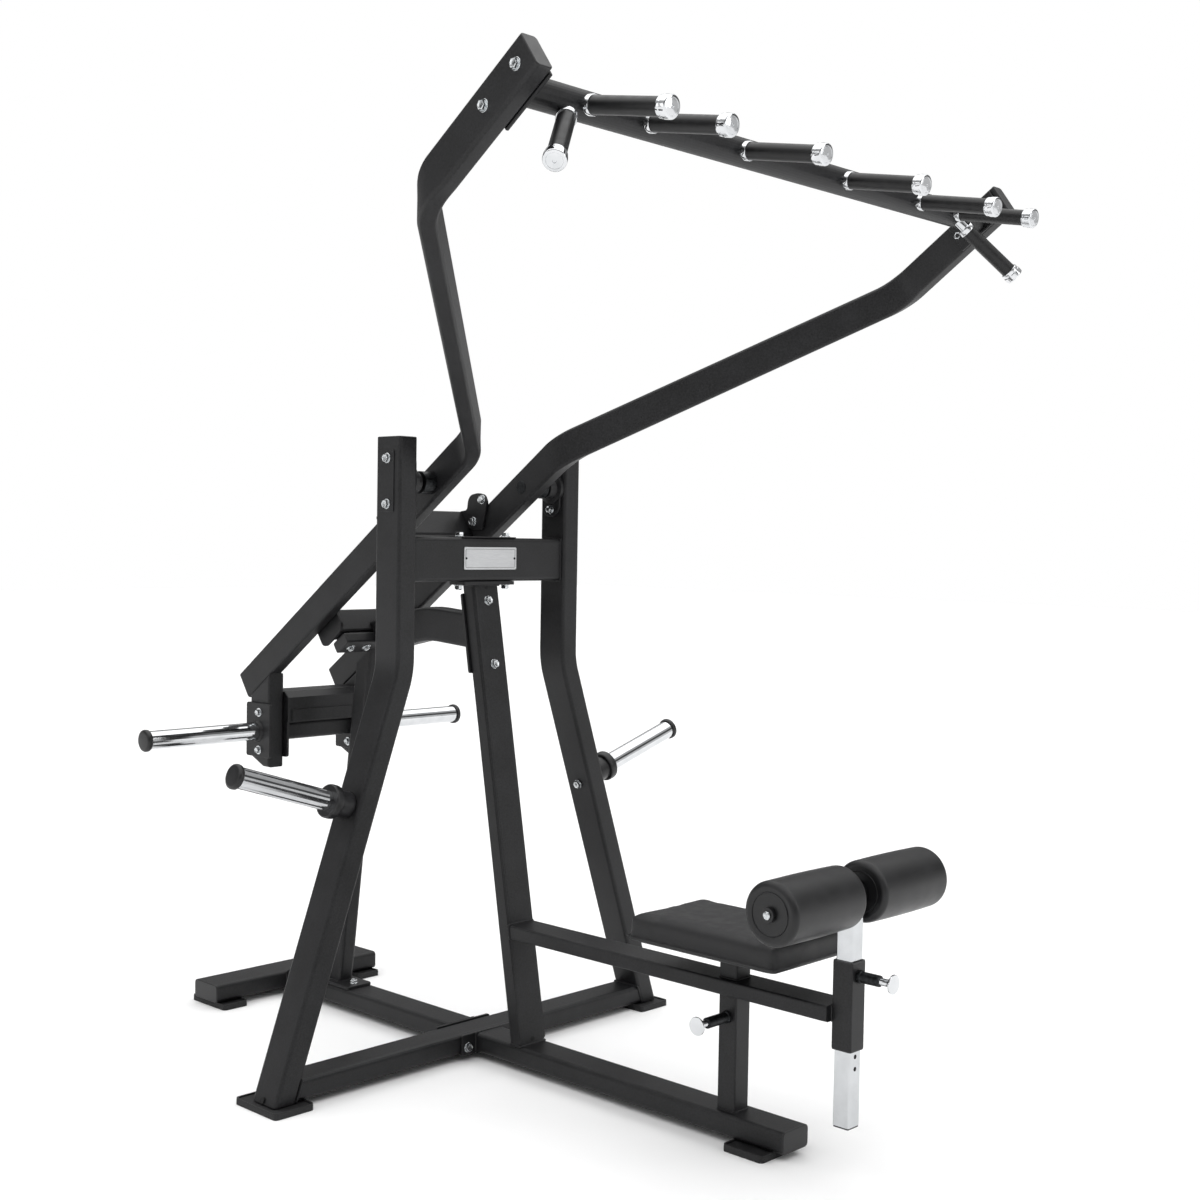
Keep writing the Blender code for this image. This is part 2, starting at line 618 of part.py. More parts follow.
def build_seat():
    """Seat rail, guide tubes, sliding seat post, seat plate and cushion."""
    front = THIGH_POST_Y + SQ_OUT / 2 + GAP
    z0, z1 = RAIL_Z

    def face(z):
        return strut_y(z) - STRUT_HALF_Y - GAP

    outline = [(front, z0), (face(z0), z0), (face(z1), z1), (front, z1)]
    rail = place("seat_rail", soften(prism([outline], RAIL_HALF_X, "X"), 0.005, "X", "Y"),
                 "powder_coat")
    h = SQ_OUT / 2 + GAP
    cut(rail, block((-h, SEAT_POST_Y - h, 0.3), (h, SEAT_POST_Y + h, 0.4)), "post_hole")
    place("seat_outer_post", square_tube(SEAT_POST_Y, BASE_Z1 + GAP, 0.404), "powder_coat")
    place("thigh_sleeve", square_tube(THIGH_POST_Y, 0.273, 0.456), "powder_coat")

    place("seat_inner_post", square_bar(SEAT_POST_Y, 0.235, 0.421), "chrome",
          (0, SEAT_POST_Y, 0.421))
    place("seat_plate", block((-0.095, -0.985, 0.4213), (0.095, -0.725, 0.4273), 0.0015, 1),
          "powder_coat", (0, SEAT_POST_Y, 0.4213))
    place("seat_cushion", block((-0.135, -1.068, 0.4276), (0.135, -0.641, 0.489), 0.012, 3),
          "vinyl", (0, SEAT_POST_Y, 0.4276))


def build_thigh():
    """Sliding thigh post, axle holder, axle and the two foam rollers."""
    y, z = THIGH_POST_Y, ROLLER_Z
    place("thigh_post", square_bar(y, 0.108, z - 0.0243), "chrome", (0, y, 0.108))
    place("axle_holder", rod((-0.027, y, z), (0.027, y, z), 0.024, AXLE_R + GAP), "chrome",
          (0, y, z))
    place("roller_axle", rod((-0.284, y, z), (0.284, y, z), AXLE_R), "chrome", (0, y, z))
    x0, x1 = ROLLER_X
    r, e = ROLLER_R, 0.010
    ring = [(r - e, x1), (r - e * 0.3, x1 - e * 0.3), (r, x1 - e), (r, x0 + e),
            (r - e * 0.3, x0 + e * 0.3), (r - e, x0), (AXLE_R + 0.0006, x0),
            (AXLE_R + 0.0006, x1)]
    pair("roller", aim(turned(ring, 40), (0, y, z), (1, 0, 0)), "foam", ((x0 + x1) / 2, y, z))


def build_pins():
    """Pull pins with round knobs that lock the seat post and the thigh post."""
    profile = [(0.021, 0.118), (0.021, 0.104), (0.014, 0.094), (0.009, 0.060), (0.011, 0.056),
               (0.011, 0.0), (0.0, 0.0), (0.0, 0.118)]
    for name, origin, way in (
            ("seat_pin", (-SQ_OUT / 2 - GAP, SEAT_POST_Y, 0.277), (-1, 0, 0)),
            ("thigh_pin", (0, THIGH_POST_Y - SQ_OUT / 2 - GAP, 0.428), (0, -1, 0))):
        scale = 1.0 if name == "seat_pin" else 0.74
        pts = [(r, h * scale) for r, h in profile]
        place(name, aim(turned(pts, 24), origin, way), "chrome", origin)


def build_storage():
    """Plate storage sleeves, square to the splayed legs."""
    ang = leg_angle()
    square = Vector((math.cos(ang), 0, math.sin(ang)))
    root = Vector((post_centre(STORE_Z), 0, STORE_Z)) + square * (POST_W / 2 + 4 * GAP)
    out = Vector((math.cos(ang - STORE_DROP), 0, math.sin(ang - STORE_DROP)))
    pair("storage_sleeve", rod(root, root + out * STORE_LEN, SLEEVE_R), "chrome")


clear_scene()
build_base()
build_uprights()
build_columns()
build_storage()
build_bearings()
build_arms()
build_bar()
build_seat()
build_thigh()
build_pins()
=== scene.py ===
"""Looks of a plate-loaded lat pulldown machine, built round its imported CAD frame.

Lengths are metres, +Z is up, the user sits at -Y and faces the uprights. Sizes along Y are
measured from the uprights' mid-plane, where the lever pivots, as on a workshop drawing.
"""

import logging
import math
from dataclasses import dataclass
from enum import Enum

import bmesh
import bpy
from mathutils import Matrix, Vector


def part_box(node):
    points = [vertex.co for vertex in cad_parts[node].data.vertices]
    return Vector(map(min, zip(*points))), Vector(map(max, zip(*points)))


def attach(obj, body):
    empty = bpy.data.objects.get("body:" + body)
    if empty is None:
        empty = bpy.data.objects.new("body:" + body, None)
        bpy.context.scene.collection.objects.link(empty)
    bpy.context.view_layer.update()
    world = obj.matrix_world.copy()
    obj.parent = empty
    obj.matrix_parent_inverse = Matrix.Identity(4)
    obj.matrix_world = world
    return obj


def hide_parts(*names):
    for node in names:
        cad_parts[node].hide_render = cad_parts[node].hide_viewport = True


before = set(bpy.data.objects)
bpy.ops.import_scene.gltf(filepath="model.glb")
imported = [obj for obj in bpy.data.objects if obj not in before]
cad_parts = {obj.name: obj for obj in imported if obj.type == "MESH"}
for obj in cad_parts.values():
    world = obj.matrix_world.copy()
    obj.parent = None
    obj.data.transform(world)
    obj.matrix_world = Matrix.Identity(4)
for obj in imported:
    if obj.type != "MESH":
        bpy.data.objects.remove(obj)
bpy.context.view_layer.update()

logging.basicConfig(level=logging.INFO, format="%(message)s")
log = logging.getLogger("lat_pulldown")

MID_Y = sum(corner.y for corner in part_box("post_left")) / 2
X, Y, Z = (Vector(axis) for axis in ((1, 0, 0), (0, 1, 0), (0, 0, 1)))
SIDES = (-1, 1)
NAMED_SIDES = ((-1, "left"), (1, "right"))
PIVOT_Z = 1.464                   # height of the lever's pivot
ARM_SLOPE = 0.707                 # fall of the lower arm towards the rear
WASHER_THICK = 0.0018


class Body(Enum):
    """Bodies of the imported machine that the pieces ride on."""

    FRAME = "frame"
    ARM = "pull_arm"
    SEAT = "seat_carriage"
    THIGH = "thigh_carriage"
    ROLLER_LEFT = "roller_left"
    ROLLER_RIGHT = "roller_right"
    SEAT_PIN = "seat_pin"
    THIGH_PIN = "thigh_pin"


class Slot(Enum):
    """Material slots of the record."""

    PAINT = "frame_paint"
    CHROME = "chrome"
    RUBBER = "rubber"
    PLATE = "plate"
    VINYL = "vinyl"
    FOAM = "foam"


ARM_WAY = Vector((0, 1, -ARM_SLOPE)).normalized()     # along the lower arm, to the rear
ARM_OVER = Vector((0, ARM_SLOPE, 1)).normalized()     # square to it, upwards


def spot(x: float, y: float, z: float) -> Vector:
    """Return the frame point of a place measured from the uprights' mid-plane."""
    return Vector((x, y + MID_Y, z))


def along_arm(x: float, reach: float, height: float) -> Vector:
    """Return the frame point at a reach along the lower arm and a height square to it."""
    return spot(x, 0, PIVOT_Z) + ARM_WAY * reach + ARM_OVER * height


def facing(origin: Vector, way: Vector, up: Vector = Z) -> Matrix:
    """Return the placement of a part that is made standing on its own XY plane.

    Args:
        origin: Point where the part's foot goes.
        way: Direction of the part's own Z.
        up: Direction that the part's own Y leans to.

    Returns:
        The 4x4 placement.
    """
    z = way.normalized()
    x = up.cross(z)
    if x.length < 1e-6:
        x = X.copy()
    x.normalize()
    turn = Matrix((x, z.cross(x), z)).transposed().to_4x4()
    return Matrix.Translation(origin) @ turn


# ------------------------------------------------------------------------------- finishes
def linear(hex_colour: str) -> tuple[float, float, float, float]:
    """Return the linear RGBA of an sRGB colour written as six hex digits."""
    parts = [int(hex_colour[i:i + 2], 16) / 255 for i in (0, 2, 4)]
    r, g, b = (c / 12.92 if c <= 0.04045 else ((c + 0.055) / 1.055) ** 2.4 for c in parts)
    return r, g, b, 1.0


def per_metre(size_mm: float) -> float:
    """Return a texture scale, in cycles per metre, from the size of one cycle."""
    return 1000.0 / size_mm


def add(tree: bpy.types.NodeTree, kind: str, inputs: dict | None = None,
        **settings: object) -> bpy.types.Node:
    """Add one node with its settings, its values and its links.

    Args:
        tree: Node tree that gets the node.
        kind: Node type.
        inputs: Value or source socket of each input, by its name or number.
        **settings: Properties of the node itself.

    Returns:
        The new node.
    """
    node = tree.nodes.new(kind)
    for key, value in settings.items():
        setattr(node, key, value)
    for key, value in (inputs or {}).items():
        if isinstance(value, bpy.types.NodeSocket):
            tree.links.new(value, node.inputs[key])
        else:
            node.inputs[key].default_value = value
    return node


def noise(tree: bpy.types.NodeTree, where: bpy.types.NodeSocket, size_mm: float,
          detail: float, **inputs: float) -> bpy.types.NodeSocket:
    """Add a noise pattern of a real size and return its grey value."""
    values = {"Vector": where, "Scale": per_metre(size_mm), "Detail": detail, **inputs}
    return add(tree, "ShaderNodeTexNoise", values).outputs["Fac"]


@dataclass(frozen=True)
class Surface:
    """What every finish has: its name, its two colours, its gloss and its relief."""

    name: str
    colour: str
    shade: str
    roughness: float
    metallic: float = 0.0
    patch_mm: float = 60.0
    grain_mm: float = 1.5
    relief_mm: float = 0.02
    gloss_spread: float = 0.05
    specular: float = 0.5

    def material(self) -> bpy.types.Material:
        """Return the finish's material, made once."""
        made = bpy.data.materials.get(self.name)
        if made:
            return made
        made = bpy.data.materials.new(self.name)
        made.use_nodes = True
        tree = made.node_tree
        tree.nodes.clear()
        where = add(tree, "ShaderNodeTexCoord").outputs["Object"]
        shader = add(tree, "ShaderNodeBsdfPrincipled",
                     {"Metallic": self.metallic, "Roughness": self.roughness,
                      "Specular IOR Level": self.specular})
        add(tree, "ShaderNodeOutputMaterial", {"Surface": shader.outputs["BSDF"]})
        self.dress(tree, where, shader)
        return made

    def dress(self, tree: bpy.types.NodeTree, where: bpy.types.NodeSocket,
              shader: bpy.types.Node) -> None:
        """Link colour, gloss and relief to the shader."""
        patches = noise(tree, where, self.patch_mm, 4.0)
        self.colour_from(tree, patches, shader)
        self.gloss_from(tree, patches, shader)
        self.relief_from(tree, noise(tree, where, self.grain_mm, 2.0), shader)

    def colour_from(self, tree: bpy.types.NodeTree, fac: bpy.types.NodeSocket,
                    shader: bpy.types.Node, low: float = 0.35, high: float = 0.65) -> None:
        """Blend the shade and the colour over a range of a pattern."""
        ramp = add(tree, "ShaderNodeValToRGB", {"Fac": fac})
        ramp.color_ramp.elements[0].position, ramp.color_ramp.elements[1].position = low, high
        ramp.color_ramp.elements[0].color = linear(self.shade)
        ramp.color_ramp.elements[1].color = linear(self.colour)
        tree.links.new(ramp.outputs["Color"], shader.inputs["Base Color"])

    def gloss_from(self, tree: bpy.types.NodeTree, fac: bpy.types.NodeSocket,
                   shader: bpy.types.Node) -> None:
        """Vary the roughness with a pattern."""
        spread = add(tree, "ShaderNodeMapRange",
                     {"Value": fac, "From Min": 0.3, "From Max": 0.7,
                      "To Min": self.roughness - self.gloss_spread,
                      "To Max": self.roughness + self.gloss_spread})
        tree.links.new(spread.outputs["Result"], shader.inputs["Roughness"])

    def relief_from(self, tree: bpy.types.NodeTree, height: bpy.types.NodeSocket,
                    shader: bpy.types.Node, strength: float = 1.0) -> None:
        """Raise a pattern as relief of the finish's real depth."""
        bump = add(tree, "ShaderNodeBump", {"Height": height, "Strength": strength,
                                            "Distance": self.relief_mm / 1000})
        tree.links.new(bump.outputs["Normal"], shader.inputs["Normal"])


@dataclass(frozen=True)
class PowderCoat(Surface):
    """Fine-texture black powder coat, sprayed and baked: a dense, even pebble of about two
    millimetres that breaks highlights into a soft grey sheen, with paler pinpoints."""

    speck_mm: float = 4.0

    def dress(self, tree: bpy.types.NodeTree, where: bpy.types.NodeSocket,
              shader: bpy.types.Node) -> None:
        """Mottle the colour with pinpoints and pebble the surface."""
        cloud = noise(tree, where, self.patch_mm, 3.0)
        speck = noise(tree, where, self.speck_mm, 5.0, Roughness=0.7)
        mix = add(tree, "ShaderNodeMix", {"Factor": 0.75, "A": cloud, "B": speck})
        self.colour_from(tree, mix.outputs["Result"], shader, 0.38, 0.64)
        self.gloss_from(tree, speck, shader)
        self.relief_from(tree, noise(tree, where, self.grain_mm, 3.0, Roughness=0.6), shader)


@dataclass(frozen=True)
class PolishedChrome(Surface):
    """Bright chrome plate on ground and polished steel: a mirror with hairline polishing
    marks along the part and a faint haze where plates and posts rub."""

    line_axis: int = 0

    def dress(self, tree: bpy.types.NodeTree, where: bpy.types.NodeSocket,
              shader: bpy.types.Node) -> None:
        """Draw polishing lines along one axis over a hazy base."""
        stretch = [1.0, 1.0, 1.0]
        stretch[self.line_axis] = 0.02
        along = add(tree, "ShaderNodeMapping", {"Vector": where, "Scale": stretch})
        lines = noise(tree, along.outputs["Vector"], self.grain_mm, 3.0)
        self.colour_from(tree, noise(tree, where, self.patch_mm, 3.0), shader)
        self.gloss_from(tree, lines, shader)
        self.relief_from(tree, lines, shader, 0.5)


@dataclass(frozen=True)
class BrushedPlate(Surface):
    """Brushed aluminium sheet, ground along its length: fine straight lines that pull the
    highlight into a band."""

    def dress(self, tree: bpy.types.NodeTree, where: bpy.types.NodeSocket,
              shader: bpy.types.Node) -> None:
        """Draw the brush lines along X in colour, gloss and relief."""
        along = add(tree, "ShaderNodeMapping", {"Vector": where, "Scale": (0.03, 1.0, 1.0)})
        lines = noise(tree, along.outputs["Vector"], self.grain_mm, 4.0)
        self.colour_from(tree, lines, shader)
        self.gloss_from(tree, lines, shader)
        self.relief_from(tree, lines, shader)


@dataclass(frozen=True)
class StuddedRubber(Surface):
    """Compression-moulded black rubber: a dull skin with rows of small round studs and a
    bloom of grey dust between them."""

    def dress(self, tree: bpy.types.NodeTree, where: bpy.types.NodeSocket,
              shader: bpy.types.Node) -> None:
        """Set studs on a cell pattern and dust the hollows."""
        cells = add(tree, "ShaderNodeTexVoronoi",
                    {"Vector": where, "Scale": per_metre(self.grain_mm), "Randomness": 0.12})
        stud = add(tree, "ShaderNodeMapRange",
                   {"Value": cells.outputs["Distance"], "From Min": 0.22, "From Max": 0.38,
                    "To Min": 1.0, "To Max": 0.0}, interpolation_type="SMOOTHSTEP")
        dust = noise(tree, where, self.patch_mm, 4.0)
        self.colour_from(tree, dust, shader)
        self.gloss_from(tree, dust, shader)
        self.relief_from(tree, stud.outputs["Result"], shader)


@dataclass(frozen=True)
class GrainedVinyl(Surface):
    """Embossed PVC upholstery: a leather-like grain of rounded cells with fine valleys, and
    soft stretch marks that show where it is pulled over the foam. The valleys carry painted
    shade: their colour is darkened."""

    stretch_mm: float = 28.0

    def dress(self, tree: bpy.types.NodeTree, where: bpy.types.NodeSocket,
              shader: bpy.types.Node) -> None:
        """Emboss the grain over soft stretch marks, with painted shade darkening its valleys.
        """
        warp = add(tree, "ShaderNodeTexNoise",
                   {"Vector": where, "Scale": per_metre(self.grain_mm * 2.5), "Detail": 2.0})
        bent = add(tree, "ShaderNodeMix", {"Factor": 0.0012, "A": where,
                                           "B": warp.outputs["Color"]}, data_type="VECTOR")
        cells = add(tree, "ShaderNodeTexVoronoi",
                    {"Vector": bent.outputs["Result"], "Scale": per_metre(self.grain_mm)},
                    feature="DISTANCE_TO_EDGE")
        valley = add(tree, "ShaderNodeMapRange",
                     {"Value": cells.outputs["Distance"], "From Min": 0.0, "From Max": 0.22},
                     interpolation_type="SMOOTHSTEP")
        marks = noise(tree, where, self.stretch_mm, 3.0)
        relief = add(tree, "ShaderNodeMix", {"Factor": 0.45, "A": valley.outputs["Result"],
                                             "B": marks})
        # Painted shade: the colour darkens in the grain's valleys, mixed with the stretch
        # marks' tone.
        marks_and_valley_shade = add(tree, "ShaderNodeMix", {"Factor": 0.35, "A": marks,
                                           "B": valley.outputs["Result"]})
        self.colour_from(tree, marks_and_valley_shade.outputs["Result"], shader, 0.3, 0.75)
        self.gloss_from(tree, marks, shader)
        self.relief_from(tree, relief.outputs["Result"], shader)


# Name, colour and shade as sRGB hex digits, roughness, then what differs from the defaults.
POWDER_COAT = PowderCoat("fine_texture_black_powder_coat", "212123", "070708", 0.46,
                         patch_mm=90, grain_mm=1.9, relief_mm=0.16, gloss_spread=0.07,
                         specular=0.35)
CHROME_X = PolishedChrome("polished_chrome_lengthwise_x", "D8D9DB", "CDCFD1", 0.09,
                          metallic=1.0, patch_mm=35, grain_mm=0.9, relief_mm=0.004,
                          gloss_spread=0.03)
CHROME_Z = PolishedChrome("polished_chrome_lengthwise_z", "C9CBCD", "C0C2C4", 0.14,
                          metallic=1.0, patch_mm=35, grain_mm=0.9, relief_mm=0.004,
                          gloss_spread=0.04, line_axis=2)
BOLT_ZINC = Surface("bright_zinc_plated_steel", "DADCDD", "AEB2B5", 0.22, metallic=1.0,
                    patch_mm=4, grain_mm=0.8, relief_mm=0.01, gloss_spread=0.08)
NUT_BLACK = Surface("black_oxide_steel", "2E3032", "18191A", 0.38, metallic=0.8,
                    patch_mm=6, grain_mm=0.9, relief_mm=0.01)
CAP_PLASTIC = Surface("moulded_black_polyethylene", "1C1C1E", "131314", 0.36, patch_mm=25,
                      grain_mm=2.4, relief_mm=0.03, gloss_spread=0.06, specular=0.4)
FOOT_RUBBER = StuddedRubber("studded_moulded_rubber", "242425", "171718", 0.62, patch_mm=20,
                            grain_mm=5.5, relief_mm=0.7, gloss_spread=0.08, specular=0.4)
GRIP_RUBBER = Surface("extruded_grip_rubber", "161617", "0E0E0F", 0.40, patch_mm=16,
                      grain_mm=0.8, relief_mm=0.03, gloss_spread=0.06, specular=0.4)
SEAT_VINYL = GrainedVinyl("grained_upholstery_vinyl", "1E1E20", "121213", 0.46, grain_mm=2.2,
                          relief_mm=0.20, gloss_spread=0.06, specular=0.4)
ROLLER_VINYL = GrainedVinyl("soft_roller_vinyl", "18181A", "101011", 0.38, grain_mm=1.6,
                            relief_mm=0.07, gloss_spread=0.05, stretch_mm=45.0, specular=0.4)
NAMEPLATE = BrushedPlate("brushed_aluminium_sheet", "CCCDCE", "BBBCBE", 0.42, metallic=1.0,
                         grain_mm=0.5, relief_mm=0.004, gloss_spread=0.05)
# Painted shade: near-black discs laid flush on faces stand in for the dark inside of holes and
# bores.
BORE_SHADE_PAINT = Surface("shadowed_bore", "101011", "0A0A0B", 0.8, patch_mm=5, grain_mm=1.0)
SHOWROOM_FLOOR = Surface("pale_matt_floor", "FBFBFB", "F8F8F8", 0.85, patch_mm=900,
                         grain_mm=6, relief_mm=0.02, gloss_spread=0.03)


# ------------------------------------------------------------------------------ workpieces
class Workpiece:
    """One piece on the bench: solids join it one by one, then it is mounted on a body."""

    def __init__(self) -> None:
        """Start with an empty mesh."""
        self.bm = bmesh.new()

    def take(self, part: bmesh.types.BMesh, place: Matrix) -> "Workpiece":
        """Move a finished solid to its place and join it to the piece."""
        bmesh.ops.transform(part, matrix=place, verts=part.verts)
        if place.determinant() < 0:
            bmesh.ops.reverse_faces(part, faces=part.faces)
        mesh = bpy.data.meshes.new("part")
        part.to_mesh(mesh)
        part.free()
        self.bm.from_mesh(mesh)
        bpy.data.meshes.remove(mesh)
        return self

    def block(self, size: tuple[float, float, float], place: Matrix, corner: float = 0.0,
              rim: float = 0.0, steps: int = 4) -> "Workpiece":
        """Add a block that stands on its place, its upright edges and its rims rounded.

        Args:
            size: Width, height and depth along the place's X, Y and Z.
            place: Placement of the middle of the block's foot.
            corner: Radius of the upright edges.
            rim: Radius of the edges round the far face.
            steps: Segments in a corner.

        Returns:
            The piece itself.
        """
        part = self.cuboid(size, corner, steps)
        if rim:
            self.round_rim(part, size[2], rim)
        return self.take(part, place)

    @staticmethod
    def cuboid(size: tuple[float, float, float], corner: float,
               steps: int) -> bmesh.types.BMesh:
        """Return a block that stands on the XY plane, its upright edges rounded."""
        part = bmesh.new()
        bmesh.ops.create_cube(part, size=1.0)
        bmesh.ops.translate(part, vec=(0, 0, 0.5), verts=part.verts)
        bmesh.ops.scale(part, vec=size, verts=part.verts)
        if corner:
            upright = [e for e in part.edges
                       if abs((e.verts[0].co - e.verts[1].co).normalized().z) > 0.9]
            bmesh.ops.bevel(part, geom=upright, offset=corner, segments=steps, profile=0.5,
                            affect="EDGES", material=-1)
        return part

    @staticmethod
    def round_rim(part: bmesh.types.BMesh, height: float, rim: float) -> None:
        """Round the edges round a solid's far face."""
        ring = [e for e in part.edges if all(abs(v.co.z - height) < 1e-6 for v in e.verts)
                and any(abs(f.normal.z) < 0.5 for f in e.link_faces)]
        part.normal_update()
        bmesh.ops.bevel(part, geom=ring, offset=rim, segments=3, profile=0.5,
                        affect="EDGES", material=-1)

    def outline(self, points: list[tuple[float, float]], thickness: float, place: Matrix,
                corner: float = 0.0, rim: float = 0.0) -> "Workpiece":
        """Add a flat plate cut to an outline, standing on its place.

        Args:
            points: Outline in the place's XY plane.
            thickness: Thickness along the place's Z.
            place: Placement of the outline.
            corner: Radius of the outline's corners.
            rim: Radius round the far face.

        Returns:
            The piece itself.
        """
        part = bmesh.new()
        face = part.faces.new([part.verts.new((u, v, 0)) for u, v in points])
        if corner:
            bmesh.ops.bevel(part, geom=part.verts[:], offset=corner, segments=4, profile=0.5,
                            affect="VERTICES", material=-1)
            face = part.faces[:][0]
        up = bmesh.ops.extrude_face_region(part, geom=[face])
        tops = [g for g in up["geom"] if isinstance(g, bmesh.types.BMVert)]
        bmesh.ops.translate(part, vec=(0, 0, thickness), verts=tops)
        bmesh.ops.recalc_face_normals(part, faces=part.faces)
        if rim:
            self.round_rim(part, thickness, rim)
        return self.take(part, place)

    def turned(self, profile: list[tuple[float, float]], place: Matrix,
               steps: int = 40) -> "Workpiece":
        """Add a part spun from a radius and height profile round the place's Z.

        Args:
            profile: Radius and height of each point, from one pole or rim to the other.
            place: Placement of the axis.
            steps: Facets round the axis.

        Returns:
            The piece itself.
        """
        part = bmesh.new()
        verts = [part.verts.new((r, 0, h)) for r, h in profile]
        edges = [part.edges.new(pair) for pair in zip(verts, verts[1:])]
        bmesh.ops.spin(part, geom=verts + edges, cent=(0, 0, 0), axis=(0, 0, 1),
                       angle=math.tau, steps=steps, use_merge=True, use_duplicate=False)
        bmesh.ops.remove_doubles(part, verts=part.verts, dist=1e-6)
        bmesh.ops.recalc_face_normals(part, faces=part.faces)
        return self.take(part, place)

    def disc(self, radius: float, low: float, high: float, place: Matrix,
             steps: int = 20) -> "Workpiece":
        """Add a plain round disc between two heights over its place."""
        return self.turned([(0, low), (radius, low), (radius, high), (0, high)], place, steps)

    def ring(self, width: float, height: float, wall: float, depth: float, place: Matrix,
             corner: float = 0.004) -> "Workpiece":
        """Add a rectangular collar round an opening, standing on its place.

        Args:
            width: Outer size along the place's X.
            height: Outer size along the place's Y.
            wall: Width of the collar's rim.
            depth: Height of the collar.
            place: Placement of the middle of its foot.
            corner: Radius of its outer corners.

        Returns:
            The piece itself.
        """
        part = bmesh.new()
        bmesh.ops.create_grid(part, x_segments=1, y_segments=1, size=0.5)
        bmesh.ops.scale(part, vec=(width, height, 1), verts=part.verts)
        bmesh.ops.bevel(part, geom=part.verts[:], offset=corner, segments=4, profile=0.5,
                        affect="VERTICES", material=-1)
        inner = part.faces[:][0]
        bmesh.ops.inset_region(part, faces=[inner], thickness=wall, use_boundary=True,
                               use_even_offset=True)
        bmesh.ops.delete(part, geom=[inner], context="FACES")
        bmesh.ops.solidify(part, geom=part.faces[:], thickness=-depth)
        bmesh.ops.recalc_face_normals(part, faces=part.faces)
        low = min(v.co.z for v in part.verts)
        bmesh.ops.translate(part, vec=(0, 0, -low), verts=part.verts)
        return self.take(part, place)

    def bead(self, loop: list[Vector], radius: float = 0.0028) -> "Workpiece":
        """Add a weld bead that follows a closed loop of points, rippled as it was laid."""
        part = bmesh.new()
        count = len(loop)
        rings = []
        travelled = 0.0
        for i, point in enumerate(loop):
            before, after = loop[i - 1], loop[(i + 1) % count]
            travelled += (point - before).length
            swell = radius * (1 + 0.16 * math.sin(travelled * 900))
            made = bmesh.ops.create_circle(part, segments=7, radius=swell)
            turn = (after - before).to_track_quat("Z", "Y").to_matrix().to_4x4()
            bmesh.ops.transform(part, matrix=Matrix.Translation(point) @ turn,
                                verts=made["verts"])
            rings.append([e for e in part.edges
                          if all(v in made["verts"] for v in e.verts)])
        for first, second in zip(rings, rings[1:] + rings[:1]):
            bmesh.ops.bridge_loops(part, edges=first + second)
        bmesh.ops.recalc_face_normals(part, faces=part.faces)
        return self.take(part, Matrix.Identity(4))

    def mount(self, name: str, finish: Surface, body: Body, slot: Slot,
              replaces: tuple[str, ...] = (), crease: float = 38.0) -> bpy.types.Object:
        """Finish the piece: shade it, give it its material and mount it on its body.

        Args:
            name: Name of the piece.
            finish: Its finish.
            body: Body that it rides on.
            slot: Material slot of the record that its finish belongs to; not used.
            replaces: CAD nodes that it stands for.
            crease: Angle in degrees above which an edge stays sharp.

        Returns:
            The finished object.
        """
        mesh = bpy.data.meshes.new(name)
        self.bm.to_mesh(mesh)
        self.bm.free()
        return settle(mesh, name, finish, body, replaces, crease)


def settle(mesh: bpy.types.Mesh, name: str, finish: Surface, body: Body,
           replaces: tuple[str, ...] = (), crease: float = 38.0) -> bpy.types.Object:
    """Turn a mesh that is in place into a mounted, finished piece; see Workpiece.mount."""
    mesh.shade_smooth()
    mesh.set_sharp_from_angle(angle=math.radians(crease))
    mesh.materials.clear()
    mesh.materials.append(finish.material())
    piece = bpy.data.objects.new(name, mesh)
    bpy.context.scene.collection.objects.link(piece)
    evener = piece.modifiers.new("even_shading", "WEIGHTED_NORMAL")
    evener.keep_sharp = True
    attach(piece, body.value)
    if replaces:
        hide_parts(*replaces)
    log.info("%s: %d faces on %s", name, len(mesh.polygons), body.value)
    return piece


def smooth_copy(node: str, name: str, finish: Surface, body: Body,
                crease: float = 50.0) -> bpy.types.Object:
    """Stand a merged, smoothly shaded copy of a bent CAD tube in for the node."""
    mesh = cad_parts[node].data.copy()
    bm = bmesh.new()
    bm.from_mesh(mesh)
    bmesh.ops.remove_doubles(bm, verts=bm.verts, dist=1e-5)
    bmesh.ops.recalc_face_normals(bm, faces=bm.faces)
    bm.to_mesh(mesh)
    bm.free()
    return settle(mesh, name, finish, body, (node,), crease)


# --------------------------------------------------------------------------------- fixings
class Head(Enum):
    """Kinds of fixing that the machine uses: what shows of each one."""

    BOLT = "hex bolt on a washer"
    NUT = "lock nut on a washer"
    SCREW = "button-head screw"


